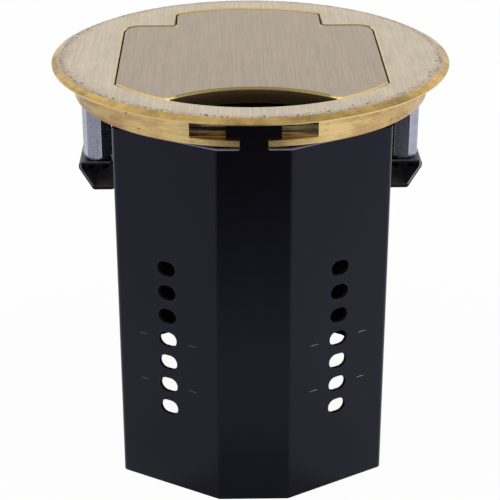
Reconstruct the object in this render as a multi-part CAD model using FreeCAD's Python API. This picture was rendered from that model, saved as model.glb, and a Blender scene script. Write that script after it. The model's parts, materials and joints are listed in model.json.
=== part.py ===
import FreeCAD, Part
import math
import os

# Round conference table box: a turned brass ring with a flush hinged lid, hung over a folded steel
# sleeve that carries the sockets, and two swing clamps that grip the table from below.
# Millimetres. Origin: middle of the flange's underside, on the table. +Z up, -Y the cable-exit side.

# Whole box
FLANGE_DIAMETER = 120.65
OVERALL_HEIGHT = 126.70

# Ring
FLANGE_OVERHANG = 6.475
FLANGE_RISE = 1.40
RIM_LAND = 0.35
BEVEL_WIDTH = 2.40
SKIRT_DEPTH = 8.67
OPENING_CHAMFER = 0.40
LEDGE_WIDTH = 3.50

# Lid
RING_LAND = 11.875
LID_THICKNESS = 4.80
LID_FLAT_DEPTH = 9.05
SHOULDER_SETBACK = 20.15
SHOULDER_ROUND = 5.0
FRONT_CORNER_ROUND = 0.60
TONGUE_WIDTH = 46.40
TONGUE_SETBACK = 0.75
TONGUE_ROUND = 2.0
TONGUE_ROOT_ROUND = 1.5
LID_GAP = 0.45
SHOULDER_GAP = 0.90
LID_CHAMFER = 0.40
NOTCH_RADIUS = 36.0
NOTCH_DEPTH = 16.25
NOTCH_TIP_ROUND = 1.0
NOTCH_LIP_ROUND = 0.8

# Lid hinge
HINGE_SETBACK = 13.45
HINGE_PIN_DIAMETER = 2.5
HINGE_AXIS_DROP = 1.4
HINGE_PIN_ENTRY = 8.0
HINGE_PIN_RECESS = 1.2
RUNNING_CLEARANCE = 0.05

# Hanging slots in the skirt, front and rear
POCKET_WIDTH = 36.0
POCKET_WALL = 1.30
POCKET_ROOF = 0.60
LIP_HEIGHT = 1.80
NECK_WIDTH = 7.60
NECK_CLEARANCE = 0.20
HEAD_WIDTH = 15.50
HEAD_TOP_GAP = 0.60

# Sleeve
SHEET = 1.20
SLEEVE_INSET = 0.50
SIDE_ROOM = 13.25
FRONT_PANEL_WIDTH = 21.20
SLEEVE_TOP_GAP = 1.23
BEND_INNER = 0.80
SEAM_DISTANCE = 24.0
SEAM_GAP = 0.30
LAP_LENGTH = 10.0
JOGGLE_LENGTH = 1.50
REAR_RELIEF_WIDTH = 72.0
REAR_RELIEF_HEIGHT = 9.30
REAR_RELIEF_ROUND = 3.0
RIVET_COUNT = 3
RIVET_TOP_DROP = 15.0
RIVET_FOOT_RISE = 12.4
RIVET_RADIUS = 1.6
RIVET_HEAD_RADIUS = 2.7
RIVET_HEAD_HEIGHT = 0.9
RIVET_BULB_RADIUS = 2.3
RIVET_BULB_HEIGHT = 1.1
RIVET_CROWN_RADIUS = 2.16
RIVET_CROWN_HEIGHT = 0.63

# Adjusting slots in the slanting panels
SLOT_LENGTH = 6.20
SLOT_HEIGHT = 4.80
SLOT_PITCH = 7.79
SLOT_FIRST_DROP = 40.84
FRONT_SLOT_COUNT = 7
REAR_SLOT_COUNT = 4

# Swing clamps
STANDOFF_FLATS = 8.0
STANDOFF_LENGTH = 23.23
STANDOFF_ROOM = 7.10
STANDOFF_TURN = 10.5
STANDOFF_CHAMFER = 0.75
STANDOFF_CHAMFER_RISE = 1.10
STUD_DIAMETER = 4.0
STUD_DEPTH = 7.0
STUD_REACH = 15.8
STUD_SCREW_GAP = 1.0
ARM_SHEET = 0.90
ARM_OUTREACH = 5.70
ARM_INREACH = 5.0
ARM_FRONT = 5.20
ARM_REACH = 26.0
ARM_TAPER_START = 15.0
ARM_END_OUTREACH = 2.40
ARM_EDGE_HEIGHT = 2.10
ARM_HEIGHT = 9.30
ARM_FOOT_OUTREACH = 1.50
ARM_CORNER_ROUND = 1.10
ARM_BEND_OUTER = 1.10
ARM_BEND_INNER = 0.20
ARM_KNEE_OUTER = 0.50
ARM_KNEE_INNER = 0.10
WASHER_DIAMETER = 6.80
WASHER_THICKNESS = 0.80
CLAMP_HEAD_FLATS = 5.50
CLAMP_HEAD_HEIGHT = 2.0

# Device plate inside the sleeve
PLATE_SHEET = 1.50
PLATE_CLEARANCE = 0.30
EAR_WIDTH = 14.0
EAR_DROP = 10.6
SIDE_EAR_DISTANCE = 4.0
PLATE_SCREW_DIAMETER = 3.5
PLATE_HEAD_DIAMETER = 7.6
PLATE_HEAD_HEIGHT = 2.2
PLATE_HEAD_CHAMFER = 0.9
NUT_DIAMETER = 6.0
NUT_HEIGHT = 2.4

# Power socket
SOCKET_DISTANCE = 16.0
SOCKET_BODY = (36.0, 25.0, 27.0)
SOCKET_FLANGE = (41.0, 31.0, 2.4)
SOCKET_ROUND = 3.0
SOCKET_CHAMFER = 0.72
BLADE_SPACING = 12.7
BLADE_SLOTS = ((1.8, 8.0), (1.8, 6.8))
BLADE_OFFSET = 2.4
EARTH_DIAMETER = 5.0
EARTH_OFFSET = 9.2
CONTACT_DEPTH = 14.0
TERMINAL_REACH = 7.5
TERMINAL_STRIP = (0.8, 6.3)

# Data couplers
JACK_SPACING = 23.0
JACK_DISTANCE = 17.0
JACK_BODY = (15.4, 19.4, 32.0)
JACK_FLANGE = (18.0, 22.4, 1.8)
JACK_ROUND = 1.2
PORT_SIZE = (11.8, 8.2)
PORT_DEPTH = 11.0
LATCH_SLOT = (6.2, 2.6)
JACK_WIRES = 8
WIRE_PITCH = 1.02
WIRE_SIZE = 0.45
WIRE_LENGTH = 8.0

OVER = 1.0          # how far a cutting tool runs past the face it opens
NEAR = 1e-5         # two heights or points closer than this are the same
FULL_ROUND = 0.999  # share of a slot's half height that rounds its ends, short of meeting

# Derived places
FLANGE_RADIUS = FLANGE_DIAMETER / 2
SKIRT_RADIUS = FLANGE_RADIUS - FLANGE_OVERHANG
LID_RADIUS = FLANGE_RADIUS - RING_LAND
LID_HALF = LID_RADIUS - LID_FLAT_DEPTH
SHOULDER_DISTANCE = LID_RADIUS - SHOULDER_SETBACK
TONGUE_HALF = TONGUE_WIDTH / 2
TONGUE_RADIUS = LID_RADIUS - TONGUE_SETBACK
NOTCH_APEX_DISTANCE = LID_RADIUS - NOTCH_DEPTH
NOTCH_CENTRE_DISTANCE = NOTCH_APEX_DISTANCE + NOTCH_RADIUS
LID_BOTTOM = FLANGE_RISE - LID_THICKNESS
OPENING_RADIUS = LID_RADIUS + LID_GAP
HINGE_DISTANCE = LID_RADIUS - HINGE_SETBACK
HINGE_Z = -HINGE_AXIS_DROP
HINGE_RADIUS = HINGE_PIN_DIAMETER / 2
RING_BOTTOM = -SKIRT_DEPTH
LIP_TOP = RING_BOTTOM + LIP_HEIGHT
SLEEVE_TOP = RING_BOTTOM - SLEEVE_TOP_GAP
SLEEVE_BOTTOM = FLANGE_RISE - OVERALL_HEIGHT
SLEEVE_HALF = SKIRT_RADIUS - SIDE_ROOM
SLEEVE_RADIUS = SKIRT_RADIUS - SLEEVE_INSET
FRONT_HALF = FRONT_PANEL_WIDTH / 2
FRONT_Y = math.sqrt(SLEEVE_RADIUS ** 2 - FRONT_HALF ** 2)
SIDE_Y = math.sqrt(SLEEVE_RADIUS ** 2 - SLEEVE_HALF ** 2)
PANEL_ANGLE = math.degrees(math.atan2(FRONT_Y - SIDE_Y, SLEEVE_HALF - FRONT_HALF))
PANEL_X = (FRONT_HALF + SLEEVE_HALF) / 2
PANEL_Y = (FRONT_Y + SIDE_Y) / 2
SLOT_FIRST_Z = SLEEVE_TOP - SLOT_FIRST_DROP
STANDOFF_X = SLEEVE_HALF + STANDOFF_ROOM
STANDOFF_BOTTOM = RING_BOTTOM - STANDOFF_LENGTH
STUD_RADIUS = STUD_DIAMETER / 2
STUD_BOTTOM = RING_BOTTOM - STUD_REACH
SCREW_TOP = STUD_BOTTOM - STUD_SCREW_GAP
WASHER_TOP = STANDOFF_BOTTOM - ARM_SHEET
HEAD_TOP = WASHER_TOP - WASHER_THICKNESS
HEAD_FOOT = HEAD_TOP - CLAMP_HEAD_HEIGHT
ARM_FOOT = STANDOFF_BOTTOM - ARM_HEIGHT
SEAM_THICKNESS = 2 * SHEET
PLATE_SCREW_Z = SLOT_FIRST_Z - SLOT_PITCH
PLATE_TOP = (SLOT_FIRST_Z + PLATE_SCREW_Z + PLATE_SHEET) / 2
SOCKET_TOP = PLATE_TOP + SOCKET_FLANGE[2]
BLADE_Y = BLADE_OFFSET - SOCKET_DISTANCE
EARTH_Y = BLADE_Y - EARTH_OFFSET
JACK_TOP = PLATE_TOP + JACK_FLANGE[2]


def vec(x, y, z=0.0):
    """A point or direction."""
    return FreeCAD.Vector(x, y, z)


def rounded_loop(points, radii):
    """A closed wire through the points, each corner rounded by its own radius (0 keeps it sharp)."""
    count = len(points)
    starts, middles, ends = [], [], []
    for i in range(count):
        corner = vec(*points[i])
        before = vec(*points[i - 1]).sub(corner).normalize()
        after = vec(*points[(i + 1) % count]).sub(corner).normalize()
        if radii[i] <= 0:
            starts.append(corner)
            middles.append(None)
            ends.append(corner)
            continue
        half = math.acos(max(-1.0, min(1.0, before.dot(after)))) / 2
        reach = radii[i] / math.tan(half)
        inward = before.add(after).normalize()
        centre = corner.add(inward.multiply(radii[i] / math.sin(half)))
        outward = corner.sub(centre).normalize()
        starts.append(corner.add(before.multiply(reach)))
        middles.append(centre.add(outward.multiply(radii[i])))
        ends.append(corner.add(after.multiply(reach)))
    edges = []
    for i in range(count):
        if middles[i] is not None:
            edges.append(Part.Arc(starts[i], middles[i], ends[i]).toShape())
        following = starts[(i + 1) % count]
        if ends[i].distanceToPoint(following) > NEAR:
            edges.append(Part.makeLine(ends[i], following))
    return Part.Wire(edges)


def prism(wire, bottom, top):
    """A solid between two heights over a flat wire drawn at height zero."""
    face = Part.Face(wire)
    face.translate(vec(0, 0, bottom))
    return face.extrude(vec(0, 0, top - bottom))


def slab(x_low, x_high, y_low, y_high, z_low, z_high):
    """A plain block between the given limits."""
    return Part.makeBox(x_high - x_low, y_high - y_low, z_high - z_low, vec(x_low, y_low, z_low))


def rod(radius, low, high, x=0.0, y=0.0):
    """An upright round bar between two heights."""
    return Part.makeCylinder(radius, high - low, vec(x, y, low))


def cross_rod(radius, x_low, x_high, y, z):
    """A round bar lying along X."""
    return Part.makeCylinder(radius, x_high - x_low, vec(x_low, y, z), vec(1, 0, 0))


def turned(profile):
    """A solid of revolution about Z from radius and height pairs."""
    wire = Part.makePolygon([vec(r, 0, z) for r, z in profile + profile[:1]])
    return Part.Face(wire).revolve(vec(0, 0, 0), vec(0, 0, 1), 360)


def rounded_block(size, radius, bottom, x=0.0, y=0.0):
    """An upright block of the given size with rounded upright corners."""
    half_x, half_y = size[0] / 2, size[1] / 2
    corners = [(x - half_x, y - half_y), (x + half_x, y - half_y), (x + half_x, y + half_y),
               (x - half_x, y + half_y)]
    return prism(rounded_loop(corners, [radius] * len(corners)), bottom, bottom + size[2])


def corner_radius(flats):
    """Distance from the middle of a six-sided bar to its corners, from its width across flats."""
    return flats / 2 / math.cos(math.pi / 6)


def hexagon_bar(flats, low, high, x, y, turn):
    """An upright six-sided bar, measured across its flats."""
    radius = corner_radius(flats)
    angles = [math.radians(turn + degrees) for degrees in range(0, 360, 60)]
    corners = [(x + radius * math.cos(a), y + radius * math.sin(a)) for a in angles]
    return prism(rounded_loop(corners, [0] * len(corners)), low, high)


def mirror_x(shape):
    """The same shape on the other side of the middle plane X = 0."""
    return shape.mirror(vec(0, 0, 0), vec(1, 0, 0))


def mirror_y(shape):
    """The same shape on the other side of the middle plane Y = 0."""
    return shape.mirror(vec(0, 0, 0), vec(0, 1, 0))


def one_piece(shape):
    """The single clean solid in a result of cuts and joins."""
    cleaned = shape.removeSplitter()
    return cleaned.Solids[0] if len(cleaned.Solids) == 1 else cleaned


def upright_edges(shape, places):
    """The upright straight edges standing at the given plan points."""
    found = []
    for edge in shape.Edges:
        first, last = edge.Vertexes[0].Point, edge.Vertexes[-1].Point
        upright = math.hypot(first.x - last.x, first.y - last.y) < NEAR
        if upright and any(math.hypot(first.x - x, first.y - y) < NEAR for x, y in places):
            found.append(edge)
    return found


def rim_edges(shape, height):
    """The edges that lie wholly at one height."""
    return [edge for edge in shape.Edges if all(abs(v.Z - height) < NEAR for v in edge.Vertexes)
            and abs(edge.BoundBox.ZLength) < NEAR]


def both_sides(places):
    """Plan points together with their mirror images across X = 0."""
    return list(places) + [(-x, y) for x, y in places]


def lid_outline(gap, shoulder_gap, tongue_radius, bottom, top):
    """The lid's stepped round plan as a solid, grown by a gap all round (zero for the lid itself)."""
    radius, half, tongue = LID_RADIUS + gap, LID_HALF + gap, TONGUE_HALF + gap
    shoulder = SHOULDER_DISTANCE + shoulder_gap
    front = rod(radius, bottom, top).common(slab(-half, half, -radius, 0, bottom, top))
    body = front.fuse(slab(-half, half, 0, shoulder, bottom, top))
    back = rod(tongue_radius, bottom, top).common(slab(-tongue, tongue, 0, tongue_radius, bottom, top))
    whole = one_piece(body.fuse(back))
    fronts = upright_edges(whole, both_sides([(half, -math.sqrt(radius ** 2 - half ** 2))]))
    whole = whole.makeFillet(FRONT_CORNER_ROUND + gap, fronts)
    shoulders = upright_edges(whole, both_sides([(half, shoulder)]))
    whole = whole.makeFillet(SHOULDER_ROUND + gap, shoulders)
    roots = upright_edges(whole, both_sides([(tongue, shoulder)]))
    whole = whole.makeFillet(TONGUE_ROOT_ROUND, roots)
    tips = upright_edges(whole, both_sides([(tongue, math.sqrt(tongue_radius ** 2 - tongue ** 2))]))
    return whole.makeFillet(TONGUE_ROUND, tips)


def hinge_bores(radius, inner, outer):
    """The pair of cross holes or pins of the lid hinge, right then left."""
    right = cross_rod(radius, inner, outer, HINGE_DISTANCE, HINGE_Z)
    return right, mirror_x(right)


def hanging_slot():
    """The cutter for the front T-shaped slot: a flat-backed pocket and the neck gap through its lip."""
    back = -(OPENING_RADIUS + POCKET_WALL)
    front = -(SKIRT_RADIUS + OVER)
    neck = NECK_WIDTH / 2 + NECK_CLEARANCE
    pocket = slab(-POCKET_WIDTH / 2, POCKET_WIDTH / 2, front, back, LIP_TOP, -POCKET_ROOF)
    gap = slab(-neck, neck, front, back, RING_BOTTOM - OVER, LIP_TOP + OVER)
    return pocket.fuse(gap)


def table_ring():
    """Bevelled flange and skirt, opened to the lid's shape, with side ledges, slots and hinge holes."""
    profile = [(0, RING_BOTTOM), (SKIRT_RADIUS, RING_BOTTOM), (SKIRT_RADIUS, 0), (FLANGE_RADIUS, 0),
               (FLANGE_RADIUS, RIM_LAND), (FLANGE_RADIUS - BEVEL_WIDTH, FLANGE_RISE), (0, FLANGE_RISE)]
    ring = turned(profile)
    upper = lid_outline(LID_GAP, SHOULDER_GAP, OPENING_RADIUS, LID_BOTTOM, FLANGE_RISE + OVER)
    lower = lid_outline(LID_GAP, SHOULDER_GAP, OPENING_RADIUS, RING_BOTTOM - OVER, LID_BOTTOM)
    ledge = LID_HALF + LID_GAP - LEDGE_WIDTH
    narrow = slab(-ledge, ledge, -FLANGE_RADIUS, FLANGE_RADIUS, RING_BOTTOM - OVER, LID_BOTTOM)
    ring = one_piece(ring.cut(upper).cut(lower.common(narrow)))
    mouth = [edge for edge in rim_edges(ring, FLANGE_RISE) if edge.Length < math.pi * FLANGE_RADIUS]
    ring = ring.makeChamfer(OPENING_CHAMFER, mouth)
    ring = ring.cut(hanging_slot()).cut(mirror_y(hanging_slot()))
    for bore in hinge_bores(HINGE_RADIUS, 0, FLANGE_RADIUS):
        ring = ring.cut(bore)
    for side in (-1, 1):
        ring = ring.cut(rod(STUD_RADIUS, RING_BOTTOM - OVER, RING_BOTTOM + STUD_DEPTH, side * STANDOFF_X))
    return one_piece(ring)


def notch_lip():
    """The ring-shaped cutter that rounds the lid's top edge along the cable notch."""
    low = FLANGE_RISE - NOTCH_LIP_ROUND
    inner = NOTCH_RADIUS - OVER
    outer = NOTCH_RADIUS + NOTCH_LIP_ROUND
    slant = NOTCH_LIP_ROUND * (1 - math.sqrt(0.5))
    start, end = vec(NOTCH_RADIUS, 0, low), vec(outer, 0, FLANGE_RISE)
    middle = vec(NOTCH_RADIUS + slant, 0, FLANGE_RISE - slant)
    above = FLANGE_RISE + OVER
    corners = [end, vec(outer, 0, above), vec(inner, 0, above), vec(inner, 0, low), start]
    edges = [Part.Arc(start, middle, end).toShape()]
    edges += [Part.makeLine(here, there) for here, there in zip(corners, corners[1:])]
    tool = Part.Face(Part.Wire(edges)).revolve(vec(0, 0, 0), vec(0, 0, 1), 360)
    tool.translate(vec(0, -NOTCH_CENTRE_DISTANCE))
    return tool


def lid():
    """The flush lid: stepped disc with the cable notch, broken edges and blind hinge bores."""
    reach = NOTCH_CENTRE_DISTANCE
    tip_y = (NOTCH_RADIUS ** 2 - LID_RADIUS ** 2 - reach ** 2) / (2 * reach)
    tip_x = math.sqrt(LID_RADIUS ** 2 - tip_y ** 2)
    plate = lid_outline(0, 0, TONGUE_RADIUS, LID_BOTTOM, FLANGE_RISE)
    plate = plate.cut(rod(NOTCH_RADIUS, LID_BOTTOM - OVER, FLANGE_RISE + OVER, 0, -reach))
    plate = plate.makeFillet(NOTCH_TIP_ROUND, upright_edges(plate, both_sides([(tip_x, tip_y)])))
    plate = plate.makeChamfer(LID_CHAMFER, rim_edges(plate, FLANGE_RISE)).cut(notch_lip())
    inner = TONGUE_HALF - HINGE_PIN_ENTRY - OVER
    for bore in hinge_bores(HINGE_RADIUS + RUNNING_CLEARANCE, inner, TONGUE_HALF + OVER):
        plate = plate.cut(bore)
    return one_piece(plate)


def hinge_pins():
    """The two plain pins, pressed into the ring and running in the lid's tongue."""
    outer = math.sqrt(SKIRT_RADIUS ** 2 - HINGE_DISTANCE ** 2) - HINGE_PIN_RECESS
    return hinge_bores(HINGE_RADIUS, TONGUE_HALF - HINGE_PIN_ENTRY, outer)


def sleeve_corners(inset):
    """Plan corners of the eight-sided sleeve, moved in by a distance, anticlockwise from the front right."""
    half_turn = math.radians(PANEL_ANGLE) / 2
    end_x = FRONT_HALF - inset * math.tan(half_turn)
    side_y = SIDE_Y - inset * math.tan(math.pi / 4 - half_turn)
    right = [(end_x, -(FRONT_Y - inset)), (SLEEVE_HALF - inset, -side_y)]
    rear = [(x, -y) for x, y in reversed(right)]
    return right + rear + [(-x, y) for x, y in reversed(right + rear)]


def sleeve_tube():
    """The whole folded tube before its seams, slots and tabs."""
    outside, inside = sleeve_corners(0), sleeve_corners(SHEET)
    outer = rounded_loop(outside, [BEND_INNER + SHEET] * len(outside))
    inner = rounded_loop(inside, [BEND_INNER] * len(inside))
    tube = prism(outer, SLEEVE_BOTTOM, SLEEVE_TOP)
    return tube.cut(prism(inner, SLEEVE_BOTTOM - OVER, SLEEVE_TOP + OVER))


def sleeve_part(y_low, y_high):
    """The stretch of the folded tube between two distances from the middle, the rear positive."""
    limit = slab(-FLANGE_RADIUS, FLANGE_RADIUS, y_low, y_high, SLEEVE_BOTTOM - OVER, SLEEVE_TOP + OVER)
    return sleeve_tube().common(limit)


def hanging_tab():
    """The front T-shaped tab: a neck through the lip and a head that rests on it."""
    back = -FRONT_Y + SHEET
    neck = slab(-NECK_WIDTH / 2, NECK_WIDTH / 2, -FRONT_Y, back, SLEEVE_TOP - OVER, LIP_TOP + OVER)
    head_top = -POCKET_ROOF - HEAD_TOP_GAP
    return neck.fuse(slab(-HEAD_WIDTH / 2, HEAD_WIDTH / 2, -FRONT_Y, back, LIP_TOP, head_top))


def slot_cutter(turn, x, y, z):
    """One obround slot through the sheet at a place on a panel that is turned from facing the front."""
    half = SLOT_LENGTH / 2
    rise = SLOT_HEIGHT / 2
    corners = [(-half, -rise), (half, -rise), (half, rise), (-half, rise)]
    outline = rounded_loop(corners, [rise * FULL_ROUND] * len(corners))
    cutter = prism(outline, -SHEET - OVER, SHEET + OVER)
    cutter.rotate(vec(0, 0, 0), vec(1, 0, 0), 90)
    cutter.rotate(vec(0, 0, 0), vec(0, 0, 1), turn)
    cutter.translate(vec(x, y, z))
    return cutter


def slot_rows(count):
    """The slots of both front slanting panels, down from the first row."""
    cutters = []
    for row in range(count):
        cutter = slot_cutter(PANEL_ANGLE, PANEL_X, -PANEL_Y, SLOT_FIRST_Z - row * SLOT_PITCH)
        cutters += [cutter, mirror_x(cutter)]
    return cutters


def side_slots():
    """The slots in the two flat sides for the device plate's side screws."""
    cutter = slot_cutter(90, SLEEVE_HALF, SIDE_EAR_DISTANCE, PLATE_SCREW_Z)
    return [cutter, mirror_x(cutter)]


def rivet_places():
    """Heights of the rivets down each side seam, and their distance behind the middle."""
    first, last = SLEEVE_TOP - RIVET_TOP_DROP, SLEEVE_BOTTOM + RIVET_FOOT_RISE
    step = (first - last) / (RIVET_COUNT - 1)
    return [first - i * step for i in range(RIVET_COUNT)], SEAM_DISTANCE - LAP_LENGTH / 2


def rivet(side, y, z):
    """One domed blind rivet through the lapped side seam."""
    inside = -SEAM_THICKNESS
    profile = [(0, inside - RIVET_BULB_HEIGHT), (RIVET_BULB_RADIUS, inside - RIVET_BULB_HEIGHT),
               (RIVET_BULB_RADIUS, inside), (RIVET_RADIUS, inside), (RIVET_RADIUS, 0), (RIVET_HEAD_RADIUS, 0),
               (RIVET_CROWN_RADIUS, RIVET_CROWN_HEIGHT), (0, RIVET_HEAD_HEIGHT)]
    body = turned(profile)
    body.rotate(vec(0, 0, 0), vec(0, 1, 0), 90 * side)
    body.translate(vec(side * SLEEVE_HALF, y, z))
    return body


def rivet_holes():
    """Cutters for the rivet holes of both side seams."""
    heights, y = rivet_places()
    inner, outer = SLEEVE_HALF - SEAM_THICKNESS - OVER, SLEEVE_HALF + OVER
    right = [cross_rod(RIVET_RADIUS, inner, outer, y, z) for z in heights]
    return right + [mirror_x(hole) for hole in right]


def sleeve_front():
    """Front shell of the sleeve: end panel, two slotted slanting panels and most of the flat sides."""
    shell = sleeve_part(-FLANGE_RADIUS, SEAM_DISTANCE).fuse(hanging_tab())
    for cutter in slot_rows(FRONT_SLOT_COUNT) + side_slots() + rivet_holes():
        shell = shell.cut(cutter)
    return one_piece(shell)


def rear_relief():
    """The cutter for the cable relief at the foot of the rear shell, rounded at its upper corners."""
    half = REAR_RELIEF_WIDTH / 2
    low, top = SLEEVE_BOTTOM - OVER, SLEEVE_BOTTOM + REAR_RELIEF_HEIGHT
    corners = [(-half, low), (half, low), (half, top), (-half, top)]
    outline = rounded_loop(corners, [0, 0, REAR_RELIEF_ROUND, REAR_RELIEF_ROUND])
    cutter = prism(outline, -FLANGE_RADIUS, -SEAM_DISTANCE)
    cutter.rotate(vec(0, 0, 0), vec(1, 0, 0), 90)
    return cutter


def sleeve_rear():
    """Rear shell: end panel, slanting panels, lapped strips inside the front shell, and a cable relief."""
    start = SEAM_DISTANCE + SEAM_GAP
    shell = sleeve_part(start, FLANGE_RADIUS).fuse(mirror_y(hanging_tab()))
    strip = slab(SLEEVE_HALF - SEAM_THICKNESS, SLEEVE_HALF - SHEET, SEAM_DISTANCE - LAP_LENGTH,
                 start + JOGGLE_LENGTH, SLEEVE_BOTTOM, SLEEVE_TOP)
    shell = shell.fuse(strip).fuse(mirror_x(strip))
    for cutter in slot_rows(REAR_SLOT_COUNT):
        shell = shell.cut(mirror_y(cutter))
    for cutter in rivet_holes():
        shell = shell.cut(cutter)
    return one_piece(shell.cut(rear_relief()))


def sleeve_rivets():
    """All rivets of the two side seams."""
    heights, y = rivet_places()
    return Part.makeCompound([rivet(side, y, z) for side in (-1, 1) for z in heights])


def clamp_studs():
    """The two studs screwed up into the ring, one for each standoff to run on."""
    top = RING_BOTTOM + STUD_DEPTH
    return Part.makeCompound([rod(STUD_RADIUS, STUD_BOTTOM, top, side * STANDOFF_X) for side in (-1, 1)])


def standoff(turn):
    """A right-hand standoff at its own turn, bored to run on its stud and to take the clamp screw."""
    bar = hexagon_bar(STANDOFF_FLATS, STANDOFF_BOTTOM, RING_BOTTOM, STANDOFF_X, 0, turn)
    corner = corner_radius(STANDOFF_FLATS)
    small = corner - STANDOFF_CHAMFER
    low, high = STANDOFF_BOTTOM + STANDOFF_CHAMFER_RISE, RING_BOTTOM - STANDOFF_CHAMFER_RISE
    profile = [(0, STANDOFF_BOTTOM), (small, STANDOFF_BOTTOM), (corner, low), (corner, high),
               (small, RING_BOTTOM), (0, RING_BOTTOM)]
    ends = turned(profile)
    ends.translate(vec(STANDOFF_X, 0))
    bar = bar.common(ends)
    bar = bar.cut(rod(STUD_RADIUS + RUNNING_CLEARANCE, SCREW_TOP, RING_BOTTOM + OVER, STANDOFF_X))
    return one_piece(bar.cut(rod(STUD_RADIUS, STANDOFF_BOTTOM - OVER, SCREW_TOP + OVER, STANDOFF_X)))


def arm_profile():
    """Corners of the folded arm's section, as distance out from the pivot and height."""
    top, foot = STANDOFF_BOTTOM, ARM_FOOT
    knee = top - ARM_EDGE_HEIGHT
    outside = [(-ARM_INREACH, top), (ARM_OUTREACH, top), (ARM_OUTREACH, knee), (ARM_FOOT_OUTREACH, foot),
               (-ARM_INREACH, foot)]
    slope = math.atan2(ARM_OUTREACH - ARM_FOOT_OUTREACH, knee - foot)
    knee_drop = ARM_SHEET * math.tan(slope / 2)
    foot_in = ARM_SHEET * math.tan(math.pi / 4 - slope / 2)
    edge, lower, upper = ARM_OUTREACH - ARM_SHEET, foot + ARM_SHEET, top - ARM_SHEET
    inside = [(-ARM_INREACH, lower), (ARM_FOOT_OUTREACH - foot_in, lower), (edge, knee - knee_drop),
              (edge, upper), (-ARM_INREACH, upper)]
    return outside + inside


def clamp_arm():
    """The right folded clamp arm: an open channel, tapered at its far end, with its pivot hole."""
    radii = [0, ARM_BEND_OUTER, ARM_KNEE_OUTER, ARM_BEND_OUTER, 0]
    radii += [0, ARM_BEND_INNER, ARM_KNEE_INNER, ARM_BEND_INNER, 0]
    arm = prism(rounded_loop(arm_profile(), radii), -ARM_REACH, ARM_FRONT)
    arm.rotate(vec(0, 0, 0), vec(1, 0, 0), 90)
    corners = [(-ARM_INREACH, -ARM_FRONT), (ARM_OUTREACH, -ARM_FRONT), (ARM_OUTREACH, ARM_TAPER_START),
               (ARM_END_OUTREACH, ARM_REACH), (-ARM_INREACH, ARM_REACH)]
    plan = rounded_loop(corners, [ARM_CORNER_ROUND, 0, 0, ARM_CORNER_ROUND, ARM_CORNER_ROUND])
    arm = arm.common(prism(plan, ARM_FOOT - OVER, STANDOFF_BOTTOM + OVER))
    arm = arm.cut(rod(STUD_RADIUS + RUNNING_CLEARANCE, WASHER_TOP - OVER, STANDOFF_BOTTOM + OVER))
    arm.translate(vec(STANDOFF_X, 0))
    return one_piece(arm)


def clamp_washer():
    """The right plain washer under the clamp screw's head."""
    ring = rod(WASHER_DIAMETER / 2, HEAD_TOP, WASHER_TOP, STANDOFF_X)
    return ring.cut(rod(STUD_RADIUS, HEAD_TOP - OVER, WASHER_TOP + OVER, STANDOFF_X))


def clamp_screw():
    """The right screw under the arm and standoff, its six-sided head reached from the open side."""
    screw = rod(STUD_RADIUS, HEAD_TOP, SCREW_TOP, STANDOFF_X)
    return one_piece(screw.fuse(hexagon_bar(CLAMP_HEAD_FLATS, HEAD_FOOT, HEAD_TOP, STANDOFF_X, 0, 0)))


def on_panel(shape, side):
    """Moves a shape drawn at the origin, facing +Y, onto a rear slanting panel's outer face."""
    placed = shape.copy()
    placed.rotate(vec(0, 0, 0), vec(0, 0, 1), -PANEL_ANGLE * side)
    placed.translate(vec(side * PANEL_X, PANEL_Y, PLATE_SCREW_Z))
    return placed


def on_side(shape, side):
    """Moves a shape drawn at the origin, facing +Y, to its place on a flat side's outer face."""
    placed = shape.copy()
    placed.rotate(vec(0, 0, 0), vec(0, 0, 1), -90 * side)
    placed.translate(vec(side * SLEEVE_HALF, SIDE_EAR_DISTANCE, PLATE_SCREW_Z))
    return placed


def at_ears(shape):
    """Copies of a shape at all the device plate's fixing places."""
    return [place(shape, side) for place in (on_panel, on_side) for side in (-1, 1)]


def facing_rod(radius, low, high):
    """A round bar along Y, for drawing screws that face +Y."""
    return Part.makeCylinder(radius, high - low, vec(0, low, 0), vec(0, 1, 0))


def device_plate():
    """Folded shelf with turned-down ears, cut out for the socket and the data couplers."""
    bottom = PLATE_TOP - PLATE_SHEET
    corners = sleeve_corners(SEAM_THICKNESS + PLATE_CLEARANCE)
    plate = prism(rounded_loop(corners, [BEND_INNER + SHEET] * len(corners)), bottom, PLATE_TOP)
    ear_top = PLATE_TOP - PLATE_SCREW_Z
    ear = slab(-EAR_WIDTH / 2, EAR_WIDTH / 2, -SHEET - PLATE_SHEET, -SHEET, ear_top - EAR_DROP, ear_top)
    for piece in at_ears(ear):
        plate = plate.fuse(piece)
    for bore in at_ears(facing_rod(PLATE_SCREW_DIAMETER / 2, -SHEET - PLATE_SHEET - OVER, 0)):
        plate = plate.cut(bore)
    depth = (bottom - OVER, PLATE_TOP + OVER)
    window = (SOCKET_BODY[0], SOCKET_BODY[1], depth[1] - depth[0])
    plate = plate.cut(rounded_block(window, SOCKET_ROUND, depth[0], 0, -SOCKET_DISTANCE))
    for x in (-JACK_SPACING / 2, JACK_SPACING / 2):
        window = (JACK_BODY[0], JACK_BODY[1], depth[1] - depth[0])
        plate = plate.cut(rounded_block(window, JACK_ROUND, depth[0], x, JACK_DISTANCE))
    return one_piece(plate)


def plate_screws():
    """The pan-head screws that hold the device plate's ears to the sleeve."""
    tail = -SHEET - PLATE_SHEET - NUT_HEIGHT
    body = facing_rod(PLATE_SCREW_DIAMETER / 2, tail, 0)
    head = facing_rod(PLATE_HEAD_DIAMETER / 2, 0, PLATE_HEAD_HEIGHT)
    rims = [edge for edge in head.Edges if abs(edge.BoundBox.YMin - PLATE_HEAD_HEIGHT) < NEAR]
    head = head.makeChamfer(PLATE_HEAD_CHAMFER, rims)
    return Part.makeCompound(at_ears(one_piece(body.fuse(head))))


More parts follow.
